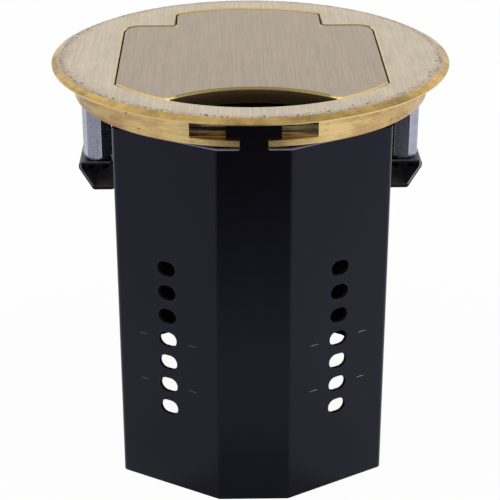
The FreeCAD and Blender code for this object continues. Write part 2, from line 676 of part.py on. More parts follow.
def plate_nuts():
    """The round clinch nuts pressed onto the inside of the ears."""
    inner = -SHEET - PLATE_SHEET
    nut = facing_rod(NUT_DIAMETER / 2, inner - NUT_HEIGHT, inner)
    nut = nut.cut(facing_rod(PLATE_SCREW_DIAMETER / 2, inner - NUT_HEIGHT - OVER, inner + OVER))
    return Part.makeCompound(at_ears(nut))


def blade_places():
    """Plan centre, width and length of each blade slot in the power socket."""
    return [(side * BLADE_SPACING / 2, BLADE_Y) + size for side, size in zip((-1, 1), BLADE_SLOTS)]


def power_socket():
    """Moulded three-pole outlet: flanged body with two blade slots and an earth hole."""
    body = rounded_block(SOCKET_BODY, SOCKET_ROUND, PLATE_TOP - SOCKET_BODY[2], 0, -SOCKET_DISTANCE)
    flange = rounded_block(SOCKET_FLANGE, SOCKET_ROUND, PLATE_TOP, 0, -SOCKET_DISTANCE)
    flange = flange.makeChamfer(SOCKET_CHAMFER, rim_edges(flange, SOCKET_TOP))
    body = body.fuse(flange)
    floor, above = SOCKET_TOP - CONTACT_DEPTH, SOCKET_TOP + OVER
    for x, y, width, length in blade_places():
        body = body.cut(slab(x - width / 2, x + width / 2, y - length / 2, y + length / 2, floor, above))
    return one_piece(body.cut(rod(EARTH_DIAMETER / 2, floor, above, 0, EARTH_Y)))


def socket_terminals():
    """Spade terminals under the outlet, one for each pole."""
    top = PLATE_TOP - SOCKET_BODY[2]
    places = [(x, y) for x, y, width, length in blade_places()]
    places.append((0, EARTH_Y))
    thick, wide = TERMINAL_STRIP[0] / 2, TERMINAL_STRIP[1] / 2
    low = top - TERMINAL_REACH
    return Part.makeCompound([slab(x - thick, x + thick, y - wide, y + wide, low, top) for x, y in places])


def data_jack(x):
    """One through coupler: flanged body with a latching port at each end."""
    body = rounded_block(JACK_BODY, JACK_ROUND, PLATE_TOP - JACK_BODY[2], x, JACK_DISTANCE)
    flange = rounded_block(JACK_FLANGE, JACK_ROUND, PLATE_TOP, x, JACK_DISTANCE)
    body = body.fuse(flange)
    low, high = PLATE_TOP - JACK_BODY[2], JACK_TOP
    half, latch = PORT_SIZE[0] / 2, LATCH_SLOT[0] / 2
    front, back = JACK_DISTANCE - PORT_SIZE[1] / 2, JACK_DISTANCE + PORT_SIZE[1] / 2
    for z_low, z_high in ((high - PORT_DEPTH, high + OVER), (low - OVER, low + PORT_DEPTH)):
        body = body.cut(slab(x - half, x + half, front, back, z_low, z_high))
        body = body.cut(slab(x - latch, x + latch, JACK_DISTANCE, back + LATCH_SLOT[1], z_low, z_high))
    return one_piece(body)


def jack_wires():
    """The spring wires standing along one wall of each upper port."""
    wires = []
    half, y, low = WIRE_SIZE / 2, JACK_DISTANCE - PORT_SIZE[1] / 2, JACK_TOP - PORT_DEPTH
    for middle in (-JACK_SPACING / 2, JACK_SPACING / 2):
        for i in range(JACK_WIRES):
            x = middle + (i - (JACK_WIRES - 1) / 2) * WIRE_PITCH
            wires.append(slab(x - half, x + half, y, y + WIRE_SIZE, low, low + WIRE_LENGTH))
    return Part.makeCompound(wires)


def build():
    """Makes every piece and writes one file for each."""
    os.makedirs("parts", exist_ok=True)
    right_pin, left_pin = hinge_pins()
    pieces = {
        "table_ring": table_ring(),
        "lid": lid(),
        "hinge_pin_left": left_pin,
        "hinge_pin_right": right_pin,
        "sleeve_front": sleeve_front(),
        "sleeve_rear": sleeve_rear(),
        "sleeve_rivets": sleeve_rivets(),
        "clamp_studs": clamp_studs(),
        "standoff_right": standoff(-STANDOFF_TURN),
        "standoff_left": mirror_x(standoff(STANDOFF_TURN)),
        "device_plate": device_plate(),
        "plate_screws": plate_screws(),
        "plate_nuts": plate_nuts(),
        "power_socket": power_socket(),
        "socket_terminals": socket_terminals(),
        "data_jack_left": data_jack(-JACK_SPACING / 2),
        "data_jack_right": data_jack(JACK_SPACING / 2),
        "jack_wires": jack_wires(),
    }
    for maker in (clamp_arm, clamp_washer, clamp_screw):
        shape = maker()
        pieces[maker.__name__ + "_right"] = shape
        pieces[maker.__name__ + "_left"] = mirror_x(shape)
    for name, shape in sorted(pieces.items()):
        shape.exportStep("parts/" + name + ".step")
        box = shape.BoundBox
        print(name, len(shape.Solids), "solids", shape.isValid(), round(shape.Volume, 1),
              [round(v, 2) for v in (box.XMin, box.XMax, box.YMin, box.YMax, box.ZMin, box.ZMax)])


build()
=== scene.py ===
"""Looks of the round conference table box: brass ring and lid, folded black sleeve, clamps and sockets."""

from __future__ import annotations

import json
import logging
import math
from dataclasses import dataclass
from enum import Enum

import bmesh
import bpy
import numpy as np
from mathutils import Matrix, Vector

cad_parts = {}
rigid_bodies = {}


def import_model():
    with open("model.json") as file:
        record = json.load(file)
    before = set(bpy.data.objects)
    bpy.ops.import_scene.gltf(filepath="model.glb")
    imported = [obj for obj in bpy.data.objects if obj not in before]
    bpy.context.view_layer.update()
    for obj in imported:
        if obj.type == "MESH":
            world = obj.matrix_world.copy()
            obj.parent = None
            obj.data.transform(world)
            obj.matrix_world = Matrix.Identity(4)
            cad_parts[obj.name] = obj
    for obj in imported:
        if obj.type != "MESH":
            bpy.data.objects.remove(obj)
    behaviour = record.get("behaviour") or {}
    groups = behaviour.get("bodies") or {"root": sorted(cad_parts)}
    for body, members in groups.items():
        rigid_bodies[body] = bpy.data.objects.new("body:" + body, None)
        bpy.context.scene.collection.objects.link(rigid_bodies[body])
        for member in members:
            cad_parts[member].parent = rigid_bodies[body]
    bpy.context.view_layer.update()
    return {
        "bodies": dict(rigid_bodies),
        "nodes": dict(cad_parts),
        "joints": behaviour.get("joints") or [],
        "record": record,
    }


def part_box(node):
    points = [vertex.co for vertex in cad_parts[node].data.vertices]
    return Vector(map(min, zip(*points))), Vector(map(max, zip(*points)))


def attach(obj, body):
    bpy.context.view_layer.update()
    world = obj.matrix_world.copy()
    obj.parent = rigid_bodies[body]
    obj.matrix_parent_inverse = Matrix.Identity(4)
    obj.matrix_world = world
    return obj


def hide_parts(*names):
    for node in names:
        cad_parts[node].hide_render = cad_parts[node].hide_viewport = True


MM = 0.001
FLOOR_HEIGHT = -125.30 * MM
LOG = logging.getLogger("table_box")

Colour = tuple[float, float, float]
Profile = tuple[tuple[float, float], ...]
# Two ends that a mask or a level runs between. A third number is the share of a mask that shows, or how
# softly a band ends.
Levels = tuple[float, ...]
# The numbers that one noise, bump or pattern takes, in the order in which its method names them.
Settings = tuple[float, ...]


class Side(Enum):
    """Left or right of the middle plane, seen from the cable exit."""

    LEFT = -1
    RIGHT = 1


class Grain(Enum):
    """Direction that a finish is brushed or turned in: how often its lines repeat per metre on each axis."""

    LENGTHWISE = (1500.0, 24.0, 900.0)
    UPRIGHT = (1500.0, 1500.0, 60.0)
    TURNED = (40.0, 2600.0, 2600.0)
    LEVEL = (70.0, 70.0, 1700.0)
    NONE = (900.0, 900.0, 900.0)


def paint(red: int, green: int, blue: int) -> Colour:
    """Turns a screen colour of 0 to 255 into the linear colour that a shader takes.

    Args:
        red: Red level.
        green: Green level.
        blue: Blue level.

    Returns:
        Linear red, green and blue: the inverse of the screen's tone curve.
    """
    levels = np.array([red, green, blue]) / 255.0
    linear = np.where(levels <= 0.04045, levels / 12.92, ((levels + 0.055) / 1.055) ** 2.4)
    return tuple(linear.tolist())


def put(name: str, data: bpy.types.ID) -> bpy.types.Object:
    """Makes an object of a mesh, a lamp or a camera, and links it into the scene.

    Args:
        name: Name of the object.
        data: What it shows.

    Returns:
        The object.
    """
    made = bpy.data.objects.new(name, data)
    bpy.context.scene.collection.objects.link(made)
    return made


class Surface:
    """Surfaces worked out as whole arrays on a grid of rows and closed columns."""

    @staticmethod
    def ease(value: np.ndarray, low: float, high: float) -> np.ndarray:
        """Smooth step from 0 at low to 1 at high: three times the share squared less twice its cube."""
        share = np.clip((value - low) / (high - low), 0.0, 1.0)
        return share * share * (3.0 - 2.0 * share)

    @staticmethod
    def circle(columns: int) -> np.ndarray:
        """Even turns about an axis, one for each column."""
        return np.linspace(0.0, 2.0 * np.pi, columns, endpoint=False)

    @staticmethod
    def turned(radius: np.ndarray, rise: np.ndarray, turn: np.ndarray) -> np.ndarray:
        """Turns a profile about its axis: radius by cosine across, radius by sine up, and rise outwards."""
        return np.stack(np.broadcast_arrays(radius * np.cos(turn), radius * np.sin(turn), rise), axis=-1)

    @staticmethod
    def copies(points: np.ndarray, centres: np.ndarray, outward: np.ndarray) -> np.ndarray:
        """Sets copies of a turned piece on the outside of the sleeve, with their axes level.

        Args:
            points: Grid of one piece.
            centres: Middle of each copy, one row each.
            outward: Level unit direction of each copy's axis, one row each.

        Returns:
            Grid of points with the copies first.
        """
        up = np.array([0.0, 0.0, 1.0])
        across = np.cross(up, outward)[:, None, None]
        placed = points[..., :1] * across + points[..., 1:2] * up + points[..., 2:] * outward[:, None, None]
        return centres[:, None, None] + placed


class Value:
    """A number, colour, place or shader that a graph works out, with the sums that lead on from it."""

    def __init__(self, graph: Graph, socket: bpy.types.NodeSocket) -> None:
        """Keeps the graph and the socket that the value comes from."""
        self.graph = graph
        self.socket = socket

    def maths(self, operation: str, *others: Feed) -> Value:
        """Result of a Math node that takes this number first."""
        return self.graph.result("ShaderNodeMath", (self, *others), operation=operation)

    def __add__(self, other: Feed) -> Value:
        """This number and another."""
        return self.maths("ADD", other)

    def __sub__(self, other: Feed) -> Value:
        """This number less another."""
        return self.maths("SUBTRACT", other)

    def __rsub__(self, other: float) -> Value:
        """A plain number less this one."""
        return self.maths("MULTIPLY_ADD", -1.0, other)

    def __mul__(self, other: Feed) -> Value:
        """This number times another, which is where two masks meet."""
        return self.maths("MULTIPLY", other)

    def __truediv__(self, other: Feed) -> Value:
        """This number over another."""
        return self.maths("DIVIDE", other)

    def __abs__(self) -> Value:
        """This number without its sign."""
        return self.maths("ABSOLUTE")

    def most(self, other: Feed) -> Value:
        """The greater of two numbers."""
        return self.maths("MAXIMUM", other)

    def least(self, other: Feed) -> Value:
        """The smaller of two numbers."""
        return self.maths("MINIMUM", other)

    def length(self, other: Value) -> Value:
        """Distance from the origin of the flat point with these two parts."""
        return (self * self + other * other).maths("SQRT")

    def fade(self, low: float, high: float, share: float = 1.0) -> Value:
        """Smooth step from 0 at low to a share at high, which falls where low is above high."""
        ends = (low, high, 0.0, share) if low < high else (high, low, share, 0.0)
        return self.graph.result("ShaderNodeMapRange", (self, *ends), interpolation_type="SMOOTHSTEP")

    def within(self, low: float, high: float, soft: float) -> Value:
        """Mask of the band between two limits, which fades softly beyond them."""
        return self.fade(low - soft, low) * self.fade(high + soft, high)

    def span(self, low: float, high: float) -> Value:
        """Straight run from low, where this is 0, to high, where it is 1."""
        return self.maths("MULTIPLY_ADD", high - low, low)

    def mix(self, first: Feed, second: Feed) -> Value:
        """Colour between two, of which this is the share of the second."""
        # Of a Mix node's sockets, inputs 6 and 7 and output 2 are the colours.
        return self.graph.result("ShaderNodeMix", {0: self, 6: first, 7: second}, 2, data_type="RGBA")

    def shade(self, colour: Feed) -> Value:
        """A colour made lighter or darker by this factor."""
        return self.graph.result("ShaderNodeVectorMath", {"Vector": colour, "Scale": self}, operation="SCALE")

    def stretch(self, scale: Feed) -> Value:
        """This place times a factor for each axis."""
        return self.graph.result("ShaderNodeVectorMath", (self, scale), operation="MULTIPLY")

    def noise(self, detail: float, rough: float, scale: Feed = 1.0) -> Value:
        """Soft noise about a half at this place, with so many finer layers of a strength."""
        feeds = {"Vector": self, "Scale": scale, "Detail": detail, "Roughness": rough}
        return self.graph.result("ShaderNodeTexNoise", feeds)

    def parts(self) -> tuple[Value, ...]:
        """The x, y and z of this place."""
        made = self.graph.node("ShaderNodeSeparateXYZ", (self,))
        return tuple(Value(self.graph, socket) for socket in made.outputs)


Feed = Value | float | tuple[float, ...]
Feeds = dict[str, Feed] | dict[int, Feed] | tuple[Feed, ...]


class Graph:
    """Places and joins shader nodes in one tree."""

    def __init__(self, tree: bpy.types.NodeTree) -> None:
        """Keeps the tree of a material, a world or a group."""
        self.tree = tree

    def feed(self, socket: bpy.types.NodeSocket, value: Feed) -> None:
        """Joins an input to a value, or sets its plain number, place or colour.

        Args:
            socket: Input to fill.
            value: What goes into it.
        """
        if isinstance(value, Value):
            self.tree.links.new(value.socket, socket)
        else:
            socket.default_value = (*value, 1.0) if socket.type == "RGBA" else value

    def node(self, kind: str, feeds: Feeds = (), **settings: object) -> bpy.types.Node:
        """Adds one node.

        Args:
            kind: Type name of the node.
            feeds: What goes into its inputs, in order, or by name or number.
            settings: Properties to set on it.

        Returns:
            The new node.
        """
        made = self.tree.nodes.new(kind)
        for name, setting in settings.items():
            setattr(made, name, setting)
        for key, value in feeds.items() if isinstance(feeds, dict) else enumerate(feeds):
            self.feed(made.inputs[key], value)
        return made

    def result(self, kind: str, feeds: Feeds = (), output: str | int = 0, **settings: object) -> Value:
        """Adds one node and gives what one of its outputs works out."""
        return Value(self, self.node(kind, feeds, **settings).outputs[output])

    def use(self, group: bpy.types.NodeTree, feeds: dict[str, Feed]) -> dict[str, Value]:
        """Places a node group and gives its outputs by name."""
        made = self.node("ShaderNodeGroup", feeds, node_tree=group)
        return {socket.name: Value(self, socket) for socket in made.outputs}

    def place(self) -> Value:
        """The object's own place of the shaded point, in metres."""
        return self.result("ShaderNodeTexCoord", output="Object")

    def facing(self) -> tuple[Value, ...]:
        """The object's own direction that the surface looks in, as x, y and z."""
        return self.result("ShaderNodeTexCoord", output="Normal").parts()

    def ray(self, kind: str) -> Value:
        """1 for rays of a kind, and 0 for the others."""
        return self.result("ShaderNodeLightPath", output=f"Is {kind} Ray")


class Effects:
    """Shader node groups that several finishes share, each built once.

    A noise is given as its finer layers, their strength and, where fixed, how often it repeats per metre.
    """

    vectors: tuple[str, ...] = ("Place", "Lines", "Unrolled")
    coarse_noise: Settings = (2.0, 0.6)
    fine_noise: Settings = (1.0, 0.5)
    fine_lines: Settings = (1.9, 4.6, 1.9)
    grain_levels: Levels = (0.60, 1.40)
    cloud_noise: Settings = (3.0, 0.55, 95.0)
    cloud_levels: Levels = (0.30, 0.70)
    patch_noise: Settings = (4.0, 0.62)
    patch_levels: Levels = (0.42, 0.66)
    spot_noise: Settings = (1.0, 0.4)
    spot_levels: Levels = (0.69, 0.77)
    roll_noise: Settings = (1.0, 0.4)
    grit_noise: Settings = (2.0, 0.5)
    grit_finer: Settings = (4.0, 4.0, 4.0)
    grit_share: float = 0.35
    fleck_levels: Levels = (0.58, 0.80)
    haze_noise: Settings = (3.0, 0.55, 40.0)

    def __init__(self) -> None:
        """Builds all the groups."""
        self.grain = self.brushed_grain()
        self.tarnish = self.tarnish_marks()
        self.peel = self.orange_peel()
        self.polar = self.round_wrap()

    def start(self, name: str, inputs: tuple[str, ...],
              outputs: tuple[str, ...]) -> tuple[Graph, list[Value]]:
        """Begins a group, whose sockets are numbers unless they are named for a vector.

        Args:
            name: Name of the group.
            inputs: Names of its inputs.
            outputs: Names of its outputs.

        Returns:
            The group's graph, and its inputs in order.
        """
        graph = Graph(bpy.data.node_groups.new(name, "ShaderNodeTree"))
        for way, labels in (("INPUT", inputs), ("OUTPUT", outputs)):
            for label in labels:
                kind = "NodeSocketVector" if label in self.vectors else "NodeSocketFloat"
                graph.tree.interface.new_socket(label, in_out=way, socket_type=kind)
        given = graph.node("NodeGroupInput").outputs
        return graph, [Value(graph, given[label]) for label in inputs]

    def brushed_grain(self) -> bpy.types.NodeTree:
        """Fine parallel lines: two layers of noise on a stretched place, the second one finer and shorter.

        Returns:
            The group.
        """
        graph, (place, lines) = self.start("brushed_grain", ("Place", "Lines"), ("Grain", "Cloud"))
        drawn = place.stretch(lines)
        coarse, fine = drawn.noise(*self.coarse_noise), drawn.stretch(self.fine_lines).noise(*self.fine_noise)
        graph.node("NodeGroupOutput", {"Grain": (coarse + fine).fade(*self.grain_levels),
                                       "Cloud": place.noise(*self.cloud_noise).fade(*self.cloud_levels)})
        return graph.tree

    def tarnish_marks(self) -> bpy.types.NodeTree:
        """Handled metal: broad warm patches, and sparse small dark spots where a fine noise peaks.

        Returns:
            The group.
        """
        inputs = ("Place", "Patch Scale", "Spot Scale")
        graph, (place, broad, small) = self.start("tarnish_marks", inputs, ("Patches", "Spots"))
        patches = place.noise(*self.patch_noise, broad).fade(*self.patch_levels)
        spots = place.noise(*self.spot_noise, small).fade(*self.spot_levels)
        graph.node("NodeGroupOutput", {"Patches": patches, "Spots": spots})
        return graph.tree

    def orange_peel(self) -> bpy.types.NodeTree:
        """Baked coating: low rolling bumps with a little grit, and faint lighter flecks.

        Returns:
            The group.
        """
        graph, (place, scale) = self.start("orange_peel", ("Place", "Scale"), ("Height", "Fleck", "Cloud"))
        grit = place.stretch(self.grit_finer).noise(*self.grit_noise, scale)
        height = place.noise(*self.roll_noise, scale) + grit * self.grit_share
        graph.node("NodeGroupOutput", {"Height": height, "Fleck": grit.fade(*self.fleck_levels),
                                       "Cloud": place.noise(*self.haze_noise)})
        return graph.tree

    def round_wrap(self) -> bpy.types.NodeTree:
        """Unrolls a round piece about Z: length of arc from the front, distance from the axis, and height.

        Returns:
            The group.
        """
        graph, (place, arc_radius) = self.start("round_wrap", ("Place", "Arc Radius"), ("Unrolled", "Radius"))
        x, y, z = place.parts()
        radius = x.length(y)
        arc = x.maths("ARCTAN2", y * -1.0) * arc_radius
        unrolled = graph.result("ShaderNodeCombineXYZ", (arc, radius, z))
        graph.node("NodeGroupOutput", {"Unrolled": unrolled, "Radius": radius})
        return graph.tree


@dataclass(frozen=True)
class Mottle:
    """Noise as a mask: its repeats per metre on each axis, finer layers, their strength, and its levels."""

    repeats: tuple[float, float, float]
    detail: float
    rough: float
    levels: Levels

    def mask(self, place: Value) -> Value:
        """The mask at a place."""
        return place.stretch(self.repeats).noise(self.detail, self.rough).fade(*self.levels)


class Canvas(Graph):
    """Graph of one finish: its material and shared effects, and the place of the shaded point."""

    middle: Levels = (-1.0 * MM, 1.0 * MM)

    def __init__(self, name: str, effects: Effects) -> None:
        """Makes the material.

        Args:
            name: Name of the material.
            effects: Shared node groups.
        """
        self.material = bpy.data.materials.new(name)
        self.material.use_nodes = True
        super().__init__(self.material.node_tree)
        self.effects = effects
        self.at = self.place()
        self.x, self.y, self.z = self.at.parts()

    def right(self) -> Value:
        """Mask of the right-hand half."""
        return self.x.fade(*self.middle)

    def grain(self, place: Value, lines: Grain) -> dict[str, Value]:
        """Brushed lines at a place."""
        return self.use(self.effects.grain, {"Place": place, "Lines": lines.value})

    def tarnish(self, patches: float, spots: float) -> dict[str, Value]:
        """Patches and spots, each repeating so often per metre."""
        return self.use(self.effects.tarnish, {"Place": self.at, "Patch Scale": patches, "Spot Scale": spots})

    def peel(self, scale: float) -> dict[str, Value]:
        """Bumps of a coating or a moulding, repeating so often per metre."""
        return self.use(self.effects.peel, {"Place": self.at, "Scale": scale})

    def bump(self, height: Value, depth: float, strength: float) -> Value:
        """Normal of the surface under a height, a full step of it being so deep, of which a share shows."""
        return self.result("ShaderNodeBump", {"Height": height, "Distance": depth, "Strength": strength})


@dataclass(frozen=True)
class Finish:
    """Base of all finishes: a named material whose Principled shader each finish fills."""

    name: str

    def material(self, effects: Effects) -> bpy.types.Material:
        """Makes the material.

        Args:
            effects: Shared node groups.

        Returns:
            The material.
        """
        canvas = Canvas(self.name, effects)
        shader = canvas.tree.nodes["Principled BSDF"]
        for name, value in self.sockets(canvas).items():
            canvas.feed(shader.inputs[name], value)
        return canvas.material

    def sockets(self, canvas: Canvas) -> dict[str, Feed]:
        """What goes into the shader's sockets, by name; each finish gives its own."""
        raise NotImplementedError

    def marks(self, canvas: Canvas, colour: Value) -> Value:
        """A colour with the marks that a kind of the finish adds; none on the plain one."""
        return colour


@dataclass(frozen=True)
class RingBrass(Finish):
    """Turned brass: brushed top with a worn rim, tarnished bevel and skirt, raw milled hanging slots."""

    name: str = "ring_brass_turned"
    top: Colour = paint(204, 191, 168)
    top_rim: Colour = paint(178, 156, 138)
    smudge: Colour = paint(190, 166, 132)
    bevel: Colour = paint(226, 190, 114)
    bevel_dull: Colour = paint(146, 118, 66)
    rim_land: Colour = paint(228, 206, 154)
    opening_edge: Colour = paint(212, 180, 106)
    shoulder_edge: Colour = paint(150, 120, 62)
    opening_flank: Colour = paint(226, 210, 164)
    skirt: Colour = paint(227, 199, 139)
    tarnish: Colour = paint(168, 135, 94)
    spot: Colour = paint(64, 50, 36)
    speck: Colour = paint(104, 84, 64)
    nick: Colour = paint(84, 68, 60)
    milled: Colour = paint(196, 174, 130)
    # Painted shade of the slot walls.
    milled_shaded: Colour = paint(58, 49, 36)
    lip: Colour = paint(172, 142, 80)

    top_height: float = 1.40 * MM
    rim_radius: float = 57.92 * MM
    relief: Settings = (0.02 * MM, 0.35)
    top_band: Levels = (1.34 * MM, 1.39 * MM)
    top_rough: Levels = (0.36, 0.46)
    side_rough: Levels = (0.26, 0.38)

    stain: Mottle = Mottle((42.0, 21.0, 42.0), 3.0, 0.6, (0.56, 0.74, 0.45))
    specks: Mottle = Mottle((900.0, 900.0, 900.0), 3.0, 0.6, (0.52, 0.64, 0.8))
    nicks: Mottle = Mottle((880.0, 484.0, 880.0), 1.0, 0.4, (0.62, 0.68, 0.9))
    weave: Mottle = Mottle((70.0, 1900.0, 1.0), 2.0, 0.6, (0.32, 0.68))
    pit_scales: Settings = (240.0, 640.0)
    worn_rim: Levels = (55.12 * MM, 57.52 * MM)
    worn_levels: Levels = (0.35, 1.0)
    pitted_rim: Levels = (53.4 * MM, 55.2 * MM)
    speck_band: Levels = (57.17 * MM, 57.92 * MM, 0.2 * MM)
    nick_band: Levels = (56.22 * MM, 57.42 * MM, 0.3 * MM)
    nick_front: Levels = (12.0 * MM, -12.0 * MM)
    grain_levels: Levels = (0.84, 1.12)
    weave_levels: Levels = (0.945, 1.055)
    cloud_levels: Levels = (0.95, 1.05)

    bands: Mottle = Mottle((75.0, 75.0, 75.0), 4.0, 0.66, (0.30, 0.72, 0.98))
    runs: Mottle = Mottle((70.0, 260.0, 260.0), 4.0, 0.66, (0.40, 0.62, 0.50))
    blots: Mottle = Mottle((330.0, 528.0, 528.0), 2.0, 0.6, (0.66, 0.76, 0.7))
    bevel_band: Levels = (0.24 * MM, 0.36 * MM)
    brushed_arc: Levels = (60.0 * MM, 95.0 * MM)
    brushed_width: Levels = (0.06 * MM, 0.50 * MM)
    brushed_end: Levels = (1.25, 0.75, 0.8)
    outer_band: Levels = (56.92 * MM, 57.92 * MM)
    opening_band: Levels = (52.0 * MM, 50.0 * MM)
    flank_band: Levels = (38.8 * MM, 39.2 * MM)
    back_band: Levels = (32.0 * MM, 40.0 * MM)
    aged_arc: Levels = (24.0 * MM, 50.0 * MM)
    aged_levels: Levels = (0.06, 0.50)
    # Painted shade: a dark band on the skirt just below the flange.
    under_foot: Levels = (-1.5 * MM, -0.2 * MM)
    under_top: Levels = (0.0, -0.05 * MM)
    under_levels: Levels = (1.0, 0.5)
    land_band: Levels = (-0.02 * MM, 0.02 * MM)
    lathe_levels: Levels = (0.82, 1.14)

    cutter: Mottle = Mottle(Grain.LEVEL.value, 3.0, 0.6, (0.44, 0.62))
    slot_depth: Levels = (49.6 * MM, 49.9 * MM)
    slot_mouth: Levels = (53.77 * MM, 53.65 * MM)
    slot_height: Levels = (-6.92 * MM, -0.4 * MM, 0.1 * MM)
    lip_band: Levels = (-6.52 * MM, -6.77 * MM)

    def top_colour(self, canvas: Canvas, radius: Value, brush: dict[str, Value]) -> Value:
        """Brushed top: streaks, broad smudges, a worn pinkish rim, sparse pits along it and a nicked edge.

        Args:
            canvas: Graph of the material.
            radius: Distance from the ring's axis.
            brush: Brushed grain along Y.

        Returns:
            The colour.
        """
        place = canvas.at
        pits = canvas.tarnish(*self.pit_scales)
        colour = self.stain.mask(place).mix(self.top, self.smudge)
        worn = radius.fade(*self.worn_rim) * pits["Patches"].span(*self.worn_levels)
        colour = worn.mix(colour, self.top_rim)
        colour = (radius.fade(*self.pitted_rim) * pits["Spots"]).mix(colour, self.spot)
        colour = (radius.within(*self.speck_band) * self.specks.mask(place)).mix(colour, self.speck)
        nicked = radius.within(*self.nick_band) * canvas.y.fade(*self.nick_front)
        colour = (nicked * self.nicks.mask(place)).mix(colour, self.nick)
        colour = brush["Grain"].span(*self.grain_levels).shade(colour)
        colour = self.weave.mask(place).span(*self.weave_levels).shade(colour)
        return brush["Cloud"].span(*self.cloud_levels).shade(colour)

    def side_colour(self, canvas: Canvas, unrolled: Value, lathe: dict[str, Value]) -> Value:
        """Bevel and skirt: turned lines, tarnish along the arc, and a dark line of painted shade below the
        flange.

        Args:
            canvas: Graph of the material.
            unrolled: Place unrolled about the ring's axis.
            lathe: Turned grain.

        Returns:
            The colour.
        """
        height = canvas.z
        turn, radius, _ = unrolled.parts()
        arc = abs(turn)
        bevel = self.bands.mask(unrolled).mix(self.bevel, self.bevel_dull)
        width = arc.fade(*self.brushed_arc).span(*self.brushed_width)
        brushed = ((self.top_height - height) / width).fade(*self.brushed_end)
        bevel = (brushed * radius.fade(*self.outer_band)).mix(bevel, self.top_rim)
        edge = canvas.y.fade(*self.back_band).mix(self.shoulder_edge, self.opening_edge)
        edge = abs(canvas.x).fade(*self.flank_band).mix(edge, self.opening_flank)
        bevel = radius.fade(*self.opening_band).mix(bevel, edge)
        aged = arc.fade(*self.aged_arc).span(*self.aged_levels)
        skirt = (self.runs.mask(unrolled) + aged).mix(self.skirt, self.tarnish)
        skirt = self.blots.mask(unrolled).mix(skirt, self.spot)
        # Painted shade: the skirt darkens in a band just below the flange's overhang.
        under = height.fade(*self.under_foot) * height.fade(*self.under_top)
        skirt = under.span(*self.under_levels).shade(skirt)
        skirt = height.fade(*self.land_band).mix(skirt, self.rim_land)
        side = height.fade(*self.bevel_band).mix(skirt, bevel)
        return lathe["Grain"].span(*self.lathe_levels).shade(side)

    def slot_colour(self, canvas: Canvas, radius: Value, colour: Value) -> Value:
        """Raw walls of the two hanging slots: level cutter lines in painted shade, and the lip's bright upper
        face.

        Args:
            canvas: Graph of the material.
            radius: Distance from the ring's axis.
            colour: Colour elsewhere.

        Returns:
            The colour.
        """
        inside = abs(canvas.y).fade(*self.slot_depth) * radius.fade(*self.slot_mouth)
        inside = inside * canvas.z.within(*self.slot_height)
        # Painted shade: the slot walls are made dark, as in the recess's shade, and streaked by cutter lines.
        wall = self.cutter.mask(canvas.at).mix(self.milled_shaded, self.milled)
        return inside.mix(colour, canvas.z.fade(*self.lip_band).mix(wall, self.lip))

    def sockets(self, canvas: Canvas) -> dict[str, Feed]:
        """Fills the shader: the height picks top or side, and the slots are laid over both.

        Args:
            canvas: Graph of the material.

        Returns:
            Values by socket.
        """
        wrap = canvas.use(canvas.effects.polar, {"Place": canvas.at, "Arc Radius": self.rim_radius})
        unrolled, radius = wrap["Unrolled"], wrap["Radius"]
        is_top = canvas.z.fade(*self.top_band)
        brush, lathe = canvas.grain(canvas.at, Grain.LENGTHWISE), canvas.grain(unrolled, Grain.TURNED)
        side = self.side_colour(canvas, unrolled, lathe)
        colour = is_top.mix(side, self.top_colour(canvas, radius, brush))
        smooth = lathe["Cloud"].span(*self.side_rough)
        rough = is_top * (brush["Grain"].span(*self.top_rough) - smooth) + smooth
        lines = brush["Grain"] * is_top + lathe["Grain"] * (1.0 - is_top)
        return {"Base Color": self.slot_colour(canvas, radius, colour), "Metallic": 1.0, "Roughness": rough,
                "Normal": canvas.bump(lines, *self.relief)}


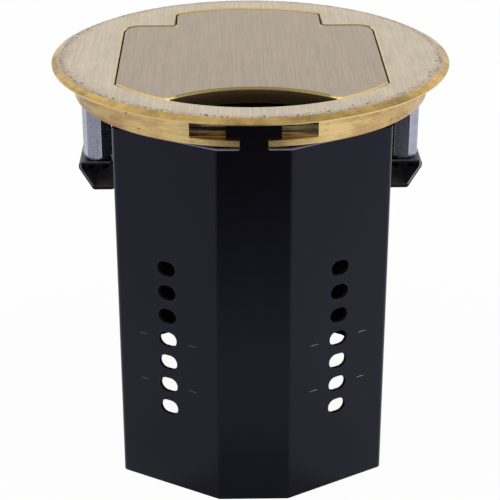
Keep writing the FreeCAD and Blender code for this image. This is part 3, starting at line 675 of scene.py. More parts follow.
@dataclass(frozen=True)
class LidBrass(Finish):
    """Brushed lid plate: warm grey top, bright gold edges, cutter lines and painted shade on its walls, a
    plain back.
    """

    name: str = "lid_brass_brushed"
    top: Colour = paint(171, 156, 137)
    edge: Colour = paint(222, 190, 120)
    flank_edge: Colour = paint(186, 168, 136)
    notch_edge: Colour = paint(148, 126, 74)
    # Painted highlight of the corner dots.
    corner_highlight: Colour = paint(240, 218, 146)
    plain_wall: Colour = paint(150, 124, 92)
    wall: Colour = paint(146, 128, 92)
    # Painted shade at the foot of the notch walls, also the colour of the cutter lines.
    wall_dark: Colour = paint(96, 82, 62)
    back: Colour = paint(190, 166, 118)

    top_band: Levels = (1.32 * MM, 1.39 * MM)
    edge_band: Levels = (0.75 * MM, 1.05 * MM)
    wall_shade_band: Levels = (0.6 * MM, -1.6 * MM, 0.6)
    cutter_noise: Settings = (3.0, 0.6)
    cutter_share: float = 0.4
    back_facing: Levels = (-0.7, -0.9)
    flank_facing: Levels = (0.60, 0.68)
    notch_side: Levels = (22.5 * MM, 21.5 * MM)
    notch_front: Levels = (0.0, -10.0 * MM)
    corners: Profile = ((24.3 * MM, -41.6 * MM), (23.5 * MM, 28.5 * MM))
    corner_dot: Levels = (1.1 * MM, 0.6 * MM)
    grain_levels: Levels = (0.82, 1.15)
    cloud_levels: Levels = (0.975, 1.025)
    back_levels: Levels = (0.88, 1.10)
    rough_levels: Levels = (0.34, 0.44)
    relief: Settings = (0.02 * MM, 0.3)

    def sockets(self, canvas: Canvas) -> dict[str, Feed]:
        """Fills the shader: height and facing pick top, edge, wall or back, and painted shade darkens the
        notch walls downwards.

        Args:
            canvas: Graph of the material.

        Returns:
            Values by socket.
        """
        across, height = abs(canvas.x), canvas.z
        aside, _, up = canvas.facing()
        brush = canvas.grain(canvas.at, Grain.LENGTHWISE)
        top = brush["Grain"].span(*self.grain_levels).shade(self.top)
        top = brush["Cloud"].span(*self.cloud_levels).shade(top)
        notch = across.fade(*self.notch_side) * canvas.y.fade(*self.notch_front)
        lines = canvas.at.stretch(Grain.LEVEL.value).noise(*self.cutter_noise)
        # Painted shade: the notch walls darken downwards into the opening, with the cutter lines on top.
        dark = height.fade(*self.wall_shade_band) + lines * self.cutter_share
        wall = notch.mix(self.plain_wall, dark.mix(self.wall, self.wall_dark))
        edge = abs(aside).fade(*self.flank_facing).mix(self.edge, self.flank_edge)
        wall = height.fade(*self.edge_band).mix(wall, notch.mix(edge, self.notch_edge))
        back = brush["Grain"].span(*self.back_levels).shade(self.back)
        wall = up.fade(*self.back_facing).mix(wall, back)
        colour = height.fade(*self.top_band).mix(wall, top)
        # Painted highlights: small bright dots at the corners.
        for corner_x, corner_y in self.corners:
            distance = (across - corner_x).length(canvas.y - corner_y)
            colour = distance.fade(*self.corner_dot).mix(colour, self.corner_highlight)
        return {"Base Color": colour, "Metallic": 1.0, "Roughness": brush["Grain"].span(*self.rough_levels),
                "Normal": canvas.bump(brush["Grain"], *self.relief)}


@dataclass(frozen=True)
class SlotPattern:
    """Where the adjusting slots lie on a slanting panel, and how far out the sleeve's side is."""

    panel_x: float = 25.6 * MM
    panel_y: float = 43.45 * MM
    panel_turn: float = math.radians(30.51)
    first: float = -50.74 * MM
    pitch: float = 7.79 * MM
    rows: int = 7
    rear_rows: int = 4
    straight: float = 0.70 * MM
    round: float = 2.40 * MM
    side_x: float = 40.6 * MM


@dataclass(frozen=True)
class PowderCoat(Finish):
    """Satin black baked coating on sheet steel; kinds of it add their own marks."""

    name: str = "powder_coat"
    colour: Colour = paint(4, 4, 6)
    fleck: Colour = paint(11, 11, 15)
    roughness: float = 0.28
    gloss: float = 0.29
    tint: Colour = (0.64, 0.62, 1.0)
    peel_scale: float = 900.0
    fleck_share: float = 0.5
    cloud_levels: Levels = (0.8, 1.2)
    uneven: float = 0.05
    relief: Settings = (0.03 * MM, 0.30)

    def dullness(self, canvas: Canvas, cloud: Value) -> Value:
        """Roughness, a little uneven with the clouds of the coating."""
        return cloud.span(self.roughness - self.uneven, self.roughness + self.uneven)

    def sockets(self, canvas: Canvas) -> dict[str, Feed]:
        """Fills the shader with the coating's flecks, clouds and bumps, and its kind's marks.

        Args:
            canvas: Graph of the material.

        Returns:
            Values by socket.
        """
        peel = canvas.peel(self.peel_scale)
        colour = (peel["Fleck"] * self.fleck_share).mix(self.colour, self.fleck)
        colour = peel["Cloud"].span(*self.cloud_levels).shade(colour)
        return {"Base Color": self.marks(canvas, colour), "Roughness": self.dullness(canvas, peel["Cloud"]),
                "Specular IOR Level": self.gloss, "Specular Tint": self.tint,
                "Normal": canvas.bump(peel["Height"], *self.relief)}


@dataclass(frozen=True)
class SlottedCoat(PowderCoat):
    """Coating of the sleeve: painted highlight on its cut top edges, rubbed lighter round the adjusting
    slots.
    """

    rubbed: Colour = paint(52, 51, 60)
    # Painted highlight on the cut top edges.
    edge_highlight: Colour = paint(150, 149, 170)
    edge_highlight_share: float = 0.7
    slots: SlotPattern = SlotPattern()
    rim_band: Levels = (0.32 * MM, 0.02 * MM, 0.3)
    top_line: Levels = (-10.2 * MM, -9.9 * MM, 0.05 * MM)
    line_end: Levels = (34.0 * MM, 20.0 * MM)
    neck_side: Levels = (4.0 * MM, 4.4 * MM)
    up_facing: Levels = (0.6, 0.9)
    level_end: Levels = (36.0 * MM, 34.0 * MM)
    level_foot: Levels = (-12.9 * MM, -10.9 * MM)

    def slot_wear(self, canvas: Canvas) -> Value:
        """Mask of the rubbed rim round each slot: the distance to a stadium repeated down the panel.

        Args:
            canvas: Graph of the material.

        Returns:
            The mask.
        """
        slots = self.slots
        across, along = abs(canvas.x) - slots.panel_x, slots.panel_y - abs(canvas.y)
        reach = across * math.cos(slots.panel_turn) + along * math.sin(slots.panel_turn)
        flat = (abs(reach) - slots.straight).most(0.0)
        row = (slots.first - canvas.z) / slots.pitch
        last = canvas.y.maths("GREATER_THAN", 0.0).span(slots.rows - 1.0, slots.rear_rows - 1.0)
        drop = (row - row.maths("ROUND").most(0.0).least(last)) * slots.pitch
        return (flat.length(drop) - slots.round).fade(*self.rim_band)

    def marks(self, canvas: Canvas, colour: Value) -> Value:
        """Adds the rubbed slot rims, and painted highlight on the up-facing cut faces at the top and a line
        below.

        Args:
            canvas: Graph of the material.
            colour: Colour of the coating.

        Returns:
            The colour.
        """
        reach, height = abs(canvas.x), canvas.z
        colour = self.slot_wear(canvas).mix(colour, self.rubbed)
        # Painted highlight: pale cut faces at the top that look up, and a pale line just below them.
        line = height.within(*self.top_line) * reach.fade(*self.line_end) * reach.fade(*self.neck_side)
        level = canvas.facing()[2].fade(*self.up_facing) * reach.fade(*self.level_end)
        edge_highlight = (level * height.fade(*self.level_foot)).most(line)
        return (edge_highlight * self.edge_highlight_share).mix(colour, self.edge_highlight)


@dataclass(frozen=True)
class ArmPaint(PowderCoat):
    """Paint of the clamp arms: painted highlight on the sheet's front edge, and dusty inside the channel."""

    # Painted highlight on the front cut edge.
    edge_highlight: Colour = paint(186, 185, 202)
    dust: Colour = paint(86, 80, 80)
    knee: float = -34.0 * MM
    wall: float = 53.4 * MM
    slope: float = math.radians(30.26)
    front_facing: Levels = (-0.9, -0.98, 0.85)
    side_line: Levels = (0.40 * MM, 0.70 * MM, 0.12 * MM)
    side_foot: Levels = (-40.2 * MM, -39.9 * MM)
    # Painted light: the edge highlight is weaker on the left-hand arm.
    side_levels: Levels = (0.45, 1.0)
    top_line: Levels = (-32.25 * MM, -32.1 * MM, 0.28)
    dust_band: Levels = (-33.9 * MM, -36.9 * MM)
    inward_facing: Levels = (-0.2, -0.5)
    up_facing: Levels = (0.7, 0.9)
    floor_band: Levels = (-39.9 * MM, -40.2 * MM)
    channel_rough: float = 0.55

    def marks(self, canvas: Canvas, colour: Value) -> Value:
        """Adds dust, and a front-edge painted highlight: a line inside the outer wall and slope, a fainter
        one on top.

        Args:
            canvas: Graph of the material.
            colour: Colour of the paint.

        Returns:
            The colour.
        """
        height = canvas.z
        wall = self.wall - abs(canvas.x)
        slope = wall * math.cos(self.slope) - (self.knee - height) * math.sin(self.slope)
        side = wall.least(slope).within(*self.side_line) * height.fade(*self.side_foot)
        # Painted highlight: a pale line on the front cut edge, brighter on the right-hand arm.
        line = (side * canvas.right().span(*self.side_levels)).most(height.fade(*self.top_line))
        colour = (self.inside(canvas) * height.fade(*self.dust_band)).mix(colour, self.dust)
        return (line * canvas.facing()[1].fade(*self.front_facing)).mix(colour, self.edge_highlight)

    def inside(self, canvas: Canvas) -> Value:
        """Mask of the foot's upper face and of faces that look back at the sleeve.

        Args:
            canvas: Graph of the material.

        Returns:
            The mask.
        """
        across, _, up = canvas.facing()
        inward = (across * canvas.x.maths("SIGN")).fade(*self.inward_facing)
        return inward.most(up.fade(*self.up_facing) * canvas.z.fade(*self.floor_band))

    def dullness(self, canvas: Canvas, cloud: Value) -> Value:
        """Roughness, higher inside the channel."""
        return self.inside(canvas) * self.channel_rough + super().dullness(canvas, cloud)


@dataclass(frozen=True)
class RivetPaint(PowderCoat):
    """Paint of the blind rivets, with the uncoated mandrel showing in the middle of each head."""

    steel: Colour = paint(104, 104, 110)
    first: float = -24.9 * MM
    pitch: float = 44.0 * MM
    row_y: float = 19.0 * MM
    mandrel: Levels = (0.86 * MM, 0.80 * MM)

    def marks(self, canvas: Canvas, colour: Value) -> Value:
        """Adds the mandrel's uncoated steel, by the distance to the nearest rivet's axis.

        Args:
            canvas: Graph of the material.
            colour: Colour of the paint.

        Returns:
            The colour.
        """
        row = (self.first - canvas.z) / self.pitch
        drop = (row - row.maths("ROUND")) * self.pitch
        return (canvas.y - self.row_y).length(drop).fade(*self.mandrel).mix(colour, self.steel)


@dataclass(frozen=True)
class PlatedSteel(Finish):
    """Bright plated or ground steel with a drawn grain and dulled patches; kinds of it add their marks."""

    name: str = "zinc_plated"
    colour: Colour = paint(172, 174, 194)
    dulled: Colour = paint(112, 114, 134)
    roughness: float = 0.23
    grain: Grain = Grain.UPRIGHT
    metallic: float = 1.0
    wear_scales: Settings = (1300.0, 1700.0)
    patch_share: float = 0.5
    spot_levels: Levels = (1.0, 0.72)
    grain_levels: Levels = (0.88, 1.10)
    uneven: float = 0.08
    relief: Settings = (0.02 * MM, 0.3)

    def sockets(self, canvas: Canvas) -> dict[str, Feed]:
        """Fills the shader with the steel's patches, spots and grain, and its kind's marks.

        Args:
            canvas: Graph of the material.

        Returns:
            Values by socket.
        """
        drawn, worn = canvas.grain(canvas.at, self.grain), canvas.tarnish(*self.wear_scales)
        colour = (worn["Patches"] * self.patch_share).mix(self.colour, self.dulled)
        colour = worn["Spots"].span(*self.spot_levels).shade(colour)
        colour = drawn["Grain"].span(*self.grain_levels).shade(colour)
        return {"Base Color": self.marks(canvas, colour), "Metallic": self.metallic,
                "Roughness": worn["Patches"].span(self.roughness, self.roughness + self.uneven),
                "Normal": canvas.bump(drawn["Grain"], *self.relief)}


@dataclass(frozen=True)
class HexagonSteel(PlatedSteel):
    """Plated six-sided bar: corners rubbed bright, front darkened by painted shade on the right-hand bar."""

    rubbed: Colour = paint(226, 226, 238)
    metallic: float = 0.80
    relief: Settings = (0.003 * MM, 0.3)
    axis: float = 47.7 * MM
    turn: float = math.radians(-10.5)
    corner_line: Levels = (math.radians(3.2), math.radians(0.96), 0.7)
    front_facing: Levels = (-0.8, -0.95)
    # Painted shade on the right-hand bar's front.
    front_shade_levels: Levels = (1.0, 0.58)

    def marks(self, canvas: Canvas, colour: Value) -> Value:
        """Adds the painted front shade and bright corners: the angle about the axis folded into one sixth of
        a turn.

        Args:
            canvas: Graph of the material.
            colour: Colour of the steel.

        Returns:
            The colour.
        """
        out = canvas.x - canvas.x.maths("SIGN") * self.axis
        off = (canvas.y.maths("ARCTAN2", out) - self.turn).maths("PINGPONG", math.pi / 6.0)
        # Painted shade: the right-hand bar's face that looks forward is darkened.
        front = canvas.facing()[1].fade(*self.front_facing) * canvas.right()
        colour = front.span(*self.front_shade_levels).shade(colour)
        return off.fade(*self.corner_line).mix(colour, self.rubbed)


@dataclass(frozen=True)
class Moulding(Finish):
    """Moulded plastic with a fine spark-eroded texture."""

    name: str = "moulding"
    colour: Colour = paint(24, 24, 26)
    roughness: float = 0.48
    gloss: float = 0.3
    peel_scale: float = 2600.0
    cloud_levels: Levels = (0.85, 1.15)
    uneven: float = 0.1
    relief: Settings = (0.03 * MM, 0.4)

    def sockets(self, canvas: Canvas) -> dict[str, Feed]:
        """Fills the shader with the moulding's clouds and texture.

        Args:
            canvas: Graph of the material.

        Returns:
            Values by socket.
        """
        peel = canvas.peel(self.peel_scale)
        return {"Base Color": peel["Cloud"].span(*self.cloud_levels).shade(self.colour),
                "Roughness": peel["Fleck"].span(self.roughness, self.roughness + self.uneven),
                "Specular IOR Level": self.gloss, "Normal": canvas.bump(peel["Height"], *self.relief)}


@dataclass(frozen=True)
class ScribedMark(Finish):
    """Uncoated metal of a scribed line, broken by a fine noise, with painted shade making it darker on the
    left-hand panel.
    """

    name: str = "scribed_mark"
    colour: Colour = paint(122, 121, 136)
    # Painted shade of the left-hand mark, also the colour of its breaks.
    dim: Colour = paint(62, 62, 76)
    wear_scales: Settings = (900.0, 1800.0)
    patch_share: float = 0.6
    rough_levels: Levels = (0.4, 0.6)

    def sockets(self, canvas: Canvas) -> dict[str, Feed]:
        """Fills the shader with the line's painted brightness, darker on the left-hand panel, and its breaks.

        Args:
            canvas: Graph of the material.

        Returns:
            Values by socket.
        """
        patches = canvas.tarnish(*self.wear_scales)["Patches"]
        # Painted shade: the mark is darker on the left-hand panel than on the right.
        colour = canvas.right().mix(self.dim, self.colour)
        return {"Base Color": (patches * self.patch_share).mix(colour, self.dim),
                "Roughness": patches.span(*self.rough_levels)}


class Workshop:
    """Dresses the frame's nodes and adds new pieces to it."""

    merge_distance: float = 0.0001 * MM
    sharp_angle: float = math.radians(35.0)

    def __init__(self, frame: dict) -> None:
        self.nodes: dict[str, bpy.types.Object] = frame["nodes"]
        self.effects = Effects()

    def dress(self, finish: Finish, *names: str) -> None:
        """Gives CAD nodes their finish.

        Args:
            finish: Finish to show.
            names: Names of the nodes.
        """
        material = finish.material(self.effects)
        for name in names:
            for slot in self.nodes[name].material_slots:
                slot.material = material
            LOG.info("dressed %s with %s", name, material.name)

    def add(self, name: str, points: np.ndarray, finish: Finish, slot: str) -> bpy.types.Object:
        """Makes a new piece from grids of points and lets it ride on the housing.

        Each grid's columns close on themselves, its end rows close in a point, and its corners stay sharp.

        Args:
            name: Name of the piece.
            points: Points in metres, copies by rows by columns by 3.
            finish: Finish to show.
            slot: Material slot of the record for the piece; not used.

        Returns:
            The piece's object.
        """
        number = np.arange(points[..., 0].size).reshape(points.shape[:-1])
        after = np.roll(number, -1, axis=2)
        faces = np.stack([number[:, :-1], after[:, :-1], after[:, 1:], number[:, 1:]], axis=-1)
        mesh = bpy.data.meshes.new(name)
        mesh.from_pydata(points.reshape(-1, 3).tolist(), [], faces.reshape(-1, 4).tolist())
        shape = bmesh.new()
        shape.from_mesh(mesh)
        bmesh.ops.remove_doubles(shape, verts=shape.verts, dist=self.merge_distance)
        bmesh.ops.recalc_face_normals(shape, faces=shape.faces)
        shape.to_mesh(mesh)
        shape.free()
        mesh.polygons.foreach_set("use_smooth", np.ones(len(mesh.polygons), dtype=bool))
        mesh.set_sharp_from_angle(angle=self.sharp_angle)
        mesh.materials.append(finish.material(self.effects))
        made = put(name, mesh)
        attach(made, "housing")
        LOG.info("added %s with %d faces", name, len(mesh.polygons))
        return made


@dataclass
class Assembly:
    """Base of the sub-assemblies, each of which is made up in a workshop."""

    shop: Workshop


@dataclass
class TopAssembly(Assembly):
    """Ring, lid and hinge pins."""

    ring_finish: RingBrass = RingBrass()
    lid_finish: LidBrass = LidBrass()
    pin_finish: PlatedSteel = PlatedSteel(
        "ground_pin", paint(200, 200, 202), paint(160, 160, 162), 0.22, Grain.NONE)

    def dress(self) -> None:
        """Dresses the ring, the lid and the pins."""
        self.shop.dress(self.ring_finish, "table_ring")
        self.shop.dress(self.lid_finish, "lid")
        self.shop.dress(self.pin_finish, "hinge_pin_left", "hinge_pin_right")


@dataclass
class Sleeve(Assembly):
    """Folded sleeve of two shells, its rivets, and the scribed index marks beside two rows of slots.

    The rivet's profile is its distance from the axis and its height outside the sleeve, in millimetres.
    """

    slots: SlotPattern = SlotPattern()
    coat_finish: SlottedCoat = SlottedCoat("sleeve_powder_coat")
    mark_finish: ScribedMark = ScribedMark()
    rivet_finish: RivetPaint = RivetPaint("rivet_paint", paint(22, 22, 25), gloss=0.35, peel_scale=1600.0)
    mark_rows: tuple[int, ...] = (3, 5)
    mark_offset: float = 8.6 * MM
    mark_length: float = 3.1 * MM
    mark_width: float = 0.28 * MM
    mark_height: float = 0.03 * MM
    mark_grid: tuple[int, int] = (13, 8)
    rivet_count: int = 3
    rivet_rise: float = 0.88 * MM
    rivet_foot: Profile = (
        (0.0, -3.5), (2.0, -3.5), (2.3, -3.2), (2.3, -2.45), (1.6, -2.4), (1.6, 0.0), (2.65, 0.0))
    rivet_core: Profile = ((1.02, 0.60), (0.90, 0.58), (0.84, 0.74), (0.74, 0.82), (0.0, 0.84))
    rivet_crown: Levels = (math.radians(3.0), math.radians(66.0))
    rivet_grid: tuple[int, int] = (12, 32)

    def build(self) -> None:
        """Makes the index marks and the rivets."""
        self.marks()
        self.rivets()

    def rivets(self) -> None:
        """Makes the blind rivets, turned about X: bulb, shank, part of an oval as head, groove, mandrel."""
        low, high = (np.array(corner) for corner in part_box("sleeve_rivets"))
        head = (high[1] - low[1]) / 2
        rows, columns = self.rivet_grid
        slope = np.linspace(*self.rivet_crown, rows)
        crown = np.stack([head * np.cos(slope), self.rivet_rise * np.sin(slope)], axis=-1)
        profile = np.concatenate([np.array(self.rivet_foot) * MM, crown, np.array(self.rivet_core) * MM])
        points = Surface.turned(profile[:, :1], profile[:, 1:], Surface.circle(columns))
        levels = np.linspace(high[2] - head, low[2] + head, self.rivet_count)
        middle = low[1] + head
        centres = np.array([(side.value * self.slots.side_x, middle, z) for side in Side for z in levels])
        outward = np.sign(centres) * np.array([1.0, 0.0, 0.0])
        points = Surface.copies(points, centres, outward)
        made = self.shop.add("blind_rivets", points, self.rivet_finish, "rivet_black")
        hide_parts("sleeve_rivets")

    def marks(self) -> None:
        """Makes the index marks: a flat oval drawn along a short line, as wide as the root of a half sine."""
        rows, columns = self.mark_grid
        share, turn = np.linspace(0.0, 1.0, rows), Surface.circle(columns)
        swell = np.sqrt(np.maximum(np.sin(np.pi * share), 0.0))[:, None]
        along = (share[:, None] - 0.5) * self.mark_length
        rise = swell * np.cos(turn) * self.mark_width / 2
        proud = swell * np.sin(turn) * self.mark_height / 2 + self.mark_height / 4
        spots = [(side.value, row, way) for side in Side for row in self.mark_rows for way in (-1, 1)]
        side, row, way = np.array(spots).T[:, :, None, None]
        cos, sin = math.cos(self.slots.panel_turn), math.sin(self.slots.panel_turn)
        reach = way * self.mark_offset + along
        x = side * (self.slots.panel_x + reach * cos + proud * sin)
        y = -self.slots.panel_y + reach * sin - proud * cos
        z = self.slots.first - row * self.slots.pitch + rise
        points = np.stack(np.broadcast_arrays(x, y, z), axis=-1)
        self.shop.add("index_marks", points, self.mark_finish, "sleeve_black")

    def dress(self) -> None:
        """Dresses the two shells."""
        self.shop.dress(self.coat_finish, "sleeve_front", "sleeve_rear")


@dataclass
class SwingClamps(Assembly):
    """Studs, standoffs, arms, washers and screws of both clamps."""

    bar_finish: HexagonSteel = HexagonSteel()
    stud_finish: PlatedSteel = PlatedSteel("zinc_thread")
    arm_finish: ArmPaint = ArmPaint("arm_paint", paint(12, 12, 14), gloss=0.30, peel_scale=1200.0)
    screw_finish: PowderCoat = PowderCoat("clamp_black", roughness=0.6, gloss=0.15, peel_scale=1600.0)
    thread_pitch: float = 0.70 * MM
    thread_depth: float = 0.40 * MM
    thread_steep: float = 1.5
    thread_flat: float = 0.25
    thread_rows: int = 8
    thread_columns: int = 24
    stud_point: float = 0.60 * MM

    def build(self) -> None:
        """Makes the threaded studs: the radius is a clipped triangle wave of height less turn, in pitches.

        The foot of each stud is cut to a cone.
        """
        low, high = (np.array(corner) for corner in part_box("clamp_studs"))
        crest = (high[1] - low[1]) / 2
        rows = self.thread_rows * round((high[2] - low[2]) / self.thread_pitch)
        rise = np.linspace(low[2], high[2], rows)[:, None]
        turn = Surface.circle(self.thread_columns)
        wave = np.abs(2.0 * ((rise / self.thread_pitch - turn / (2.0 * np.pi)) % 1.0) - 1.0)
        radius = crest - self.thread_depth * np.clip(self.thread_steep * wave - self.thread_flat, 0.0, 1.0)
        radius = np.minimum(radius, crest - self.stud_point + (rise - low[2]))
        closed = ((1, 1), (0, 0))
        points = Surface.turned(np.pad(radius, closed), np.pad(rise, closed, mode="edge"), turn)
        middles = np.array([[side.value * (high[0] - crest), 0.0, 0.0] for side in Side])
        made = self.shop.add("threaded_studs", middles[:, None, None] + points, self.stud_finish, "zinc")
        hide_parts("clamp_studs")

    def dress(self) -> None:
        """Dresses the clamps' plated and painted pieces."""
        self.shop.dress(self.bar_finish, "standoff_left", "standoff_right")
        self.shop.dress(self.arm_finish, "clamp_arm_left", "clamp_arm_right")
        self.shop.dress(self.screw_finish, "clamp_washer_left", "clamp_washer_right",
                        "clamp_screw_left", "clamp_screw_right")


@dataclass
class DeviceTray(Assembly):
    """Shelf with its fixings, the power socket and the two data couplers.

    The screw's shank is its distance from the axis and its height outside the sleeve, in millimetres.
    """

    plate_finish: PowderCoat = PowderCoat("plate_paint", paint(10, 10, 12), paint(18, 18, 21), gloss=0.14)
    screw_finish: PowderCoat = PowderCoat("screw_black", paint(22, 22, 25), gloss=0.4, peel_scale=1600.0)
    nut_finish: PlatedSteel = PlatedSteel("zinc_nut")
    socket_finish: Moulding = Moulding("socket_moulding", paint(36, 36, 39))
    jack_finish: Moulding = Moulding("coupler_moulding", paint(92, 92, 96), 0.42)
    contact_finish: PlatedSteel = PlatedSteel(
        "contact_brass_strip", paint(226, 190, 110), paint(190, 150, 80), 0.25)

    slots: SlotPattern = SlotPattern()
    screw_row: int = 1
    side_y: float = 4.0 * MM
    shank: Profile = ((0.0, -5.1), (1.45, -5.1), (1.75, -4.8), (1.75, 0.0), (3.7, 0.0), (3.8, 0.1))
    head_radius: float = 3.8 * MM
    head_wall: float = 0.9 * MM
    head_crown: float = 1.25 * MM
    head_power: int = 5
    recess_field: float = 2.4 * MM
    recess_half: float = 0.42 * MM
    recess_half_soft: float = 0.06 * MM
    recess_reach: float = 1.95 * MM
    recess_reach_soft: float = 0.1 * MM
    recess_depth: float = 1.25 * MM
    recess_fall: float = 0.35
    head_rows: int = 10
    recess_rows: int = 36
    columns: int = 96

    def build(self) -> None:
        """Makes the pan-head screws: a turned shank and head with a cross let into the crown.

        The crown's height is an oval of power 5 across and 2 up. A point is in the cross where it is near one
        of two crossed lines and not far out, and the cross grows shallower outwards.
        """
        share = np.linspace(0.0, 1.0, self.head_rows)
        outer = self.head_radius - (self.head_radius - self.recess_field) * share ** 2
        crown = np.concatenate([outer, np.linspace(self.recess_field, 0.0, self.recess_rows)[1:]])
        fall = (crown / self.head_radius) ** self.head_power
        height = self.head_wall + self.head_crown * np.sqrt(1.0 - fall)
        shank = np.array(self.shank) * MM
        radius = np.concatenate([shank[:, 0], crown])[:, None]
        turn = Surface.circle(self.columns)
        across, up = np.abs(radius * np.cos(turn)), np.abs(radius * np.sin(turn))
        near, far = np.minimum(across, up), np.maximum(across, up)
        half, half_soft = self.recess_half, self.recess_half_soft
        reach, reach_soft = self.recess_reach, self.recess_reach_soft
        cross = Surface.ease(near, half + half_soft, half - half_soft)
        cross = cross * Surface.ease(far, reach + reach_soft, reach - reach_soft)
        sunk = cross * (self.recess_depth - self.recess_fall * far)
        foot = np.repeat(shank[:, 1:], len(turn), axis=1)
        rise = np.concatenate([foot, height[:, None] - sunk[len(shank):]])
        lean = self.slots.panel_turn
        level = self.slots.first - self.screw_row * self.slots.pitch
        spots = [((self.slots.side_x, self.side_y, level), (1.0, 0.0, 0.0)),
                 ((self.slots.panel_x, self.slots.panel_y, level), (math.sin(lean), math.cos(lean), 0.0))]
        mirror = np.array([[side.value, 1.0, 1.0] for side in Side])
        centres, outward = (np.concatenate([np.array(part) * way for way in mirror]) for part in zip(*spots))
        points = Surface.copies(Surface.turned(radius, rise, turn), centres, outward)
        made = self.shop.add("cross_screws", points, self.screw_finish, "rivet_black")
        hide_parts("plate_screws")

    def dress(self) -> None:
        """Dresses the shelf, the sockets and their contacts."""
        self.shop.dress(self.plate_finish, "device_plate")
        self.shop.dress(self.nut_finish, "plate_nuts")
        self.shop.dress(self.socket_finish, "power_socket")
        self.shop.dress(self.jack_finish, "data_jack_left", "data_jack_right")
        self.shop.dress(self.contact_finish, "socket_terminals", "jack_wires")


@dataclass(frozen=True)
class Lamp:
    """One soft rectangular lamp aimed at the object, in metres and watts."""

    name: str
    place: tuple[float, float, float]
    size: tuple[float, float]
    power: float
    aim: tuple[float, float, float] = (0.0, 0.0, -0.05)

    def hang(self) -> None:
        """Adds the lamp to the scene, facing what it is aimed at."""
        data = bpy.data.lights.new(self.name, "AREA")
        data.shape = "RECTANGLE"
        data.size, data.size_y = self.size
        data.energy = self.power
        lamp = put(self.name, data)
        way = np.array(self.aim) - np.array(self.place)
        flat = math.hypot(way[0], way[1])
        lamp.location = self.place
        lamp.rotation_euler = (math.pi / 2 - math.atan2(-way[2], flat), 0.0, math.atan2(-way[0], way[1]))


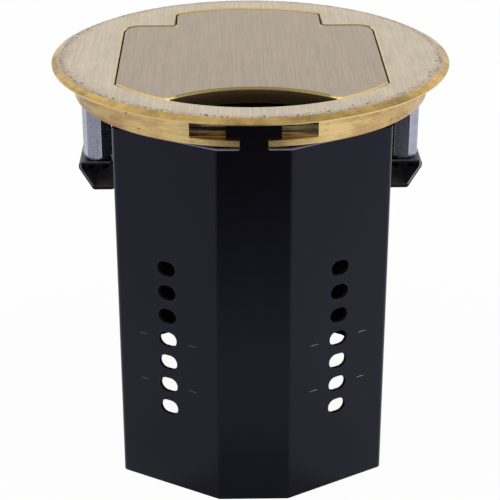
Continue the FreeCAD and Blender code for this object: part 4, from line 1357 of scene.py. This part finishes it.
@dataclass
class Studio:
    """Pale floor, white surroundings, soft lamps and the camera; sizes in metres, angles in degrees."""

    floor_half: float = 6.0
    floor_glow: float = 0.95
    paper: Colour = (0.93, 0.93, 0.93)
    fibre_noise: Settings = (2.0, 0.55, 300.0)
    fibre_levels: Levels = (0.99, 1.01)

    wide_reach: Levels = (0.10, 0.04, 0.20)
    strip_reach: Levels = (0.032, 0.018)
    strip_front: Levels = (-0.070, -0.105)
    strip_levels: Levels = (0.54, 0.14)
    near_front: Levels = (0.0, -0.05)
    room_reach: Levels = (0.30, 0.06)
    room_front: Levels = (-0.13, -0.30, 0.82)
    left_side: Levels = (0.02, -0.15, 0.14)
    under_side: Levels = (0.0395, 0.0365)
    under_end: Levels = (0.0512, 0.0482)
    under_slant: Levels = (0.0493, 0.0463)
    dimmest: float = 0.97

    sky: float = 0.80
    overhead: float = 0.50
    overhead_rise: Levels = (0.70, 0.95)
    overhead_behind: Levels = (0.02, 0.32)

    camera_place: tuple[float, float, float] = (-8.75 * MM, -457.74 * MM, 147.24 * MM)
    camera_pitch: float = 24.86
    camera_yaw: float = 1.08
    camera_clip: Levels = (0.01, 50.0)
    sensor_width: float = 36.0
    focal_pixels: float = 1563.13
    image_pixels: int = 500
    lamps: tuple[Lamp, ...] = (
        Lamp("key_left", (-0.95, -0.55, 0.55), (0.8, 0.8), 2.0),
        Lamp("fill_right", (1.0, -0.45, 0.35), (0.8, 0.8), 2.4),
    )

    @staticmethod
    def seen(graph: Graph) -> Value:
        """1 for rays from the camera, and for those that metal or glass sends on; 0 for plain light."""
        eye, glossy, clear = (graph.ray(kind) for kind in ("Camera", "Glossy", "Transmission"))
        return eye.most(glossy).most(clear)

    def floor_level(self, graph: Graph) -> Value:
        """Brightness of the floor as metal and paint see it: 1 on the paper, dim in front and under the box.

        Args:
            graph: Graph of the floor's material.

        Returns:
            The level, always 1 for the camera.
        """
        x, y, _ = graph.place().parts()
        reach, depth, turn = abs(x), abs(y), SlotPattern.panel_turn
        wide = reach.fade(*self.wide_reach)
        strip = (y.fade(*self.strip_front).span(*self.strip_levels) - wide) * reach.fade(*self.strip_reach)
        near = (wide + strip) * y.fade(*self.near_front)
        room = reach.fade(*self.room_reach) * y.fade(*self.room_front)
        slant = reach * math.sin(turn) + depth * math.cos(turn)
        under = reach.fade(*self.under_side) * depth.fade(*self.under_end) * slant.fade(*self.under_slant)
        dim = (near + room + x.fade(*self.left_side) + under).least(self.dimmest)
        return 1.0 - dim * (1.0 - graph.ray("Camera"))

    def floor(self) -> None:
        """Lays the floor: a flat square of white paper that glows for the camera but keeps some shading."""
        corners = [(x * self.floor_half, y * self.floor_half, FLOOR_HEIGHT)
                   for x, y in ((-1, -1), (1, -1), (1, 1), (-1, 1))]
        mesh = bpy.data.meshes.new("floor")
        mesh.from_pydata(corners, [], [(0, 1, 2, 3)])
        material = bpy.data.materials.new("white_paper")
        material.use_nodes = True
        graph = Graph(material.node_tree)
        graph.tree.nodes.clear()
        level = self.floor_level(graph)
        fibre = graph.place().noise(*self.fibre_noise).span(*self.fibre_levels)
        paper = graph.result("ShaderNodeBsdfDiffuse", {"Color": level.shade(fibre.shade(self.paper))})
        glow = graph.result("ShaderNodeEmission", {"Strength": level})
        mixed = graph.result("ShaderNodeMixShader", (self.seen(graph) * self.floor_glow, paper, glow))
        graph.node("ShaderNodeOutputMaterial", {"Surface": mixed})
        mesh.materials.append(material)
        made = put("floor", mesh)

    def surround(self) -> None:
        """Sets white surroundings, dimmer high up behind for reflections, and softer light for the rest."""
        world = bpy.data.worlds.new("studio")
        world.use_nodes = True
        graph = Graph(world.node_tree)
        background = graph.tree.nodes["Background"]
        _, behind, rise = graph.result("ShaderNodeTexCoord", output="Generated").parts()
        above = rise.fade(*self.overhead_rise) * behind.fade(*self.overhead_behind) * graph.ray("Glossy")
        level = self.seen(graph) * (above.span(1.0, self.overhead) - self.sky) + self.sky
        graph.feed(background.inputs["Color"], (1.0, 1.0, 1.0))
        graph.feed(background.inputs["Strength"], level)
        bpy.context.scene.world = world

    def camera(self) -> None:
        """Places the camera at the photograph's angle."""
        data = bpy.data.cameras.new("camera")
        data.sensor_width = self.sensor_width
        data.lens = self.focal_pixels / self.image_pixels * self.sensor_width
        data.clip_start, data.clip_end = self.camera_clip
        made = put("camera", data)
        made.location = self.camera_place
        made.rotation_euler = (math.radians(90.0 - self.camera_pitch), 0.0, math.radians(-self.camera_yaw))
        bpy.context.scene.camera = made

    def set_up(self) -> None:
        """Builds the whole studio."""
        self.floor()
        self.surround()
        for lamp in self.lamps:
            lamp.hang()
        self.camera()
        bpy.context.scene.view_settings.view_transform = "Standard"


def main() -> None:
    """Loads the frame, dresses every piece, adds the new ones and sets up the studio."""
    logging.basicConfig(level=logging.INFO, format="%(name)s: %(message)s")
    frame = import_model()
    shop = Workshop(frame)
    TopAssembly(shop).dress()
    for assembly in (Sleeve(shop), SwingClamps(shop), DeviceTray(shop)):
        assembly.build()
        assembly.dress()
    Studio().set_up()


if __name__ == "__main__":
    main()
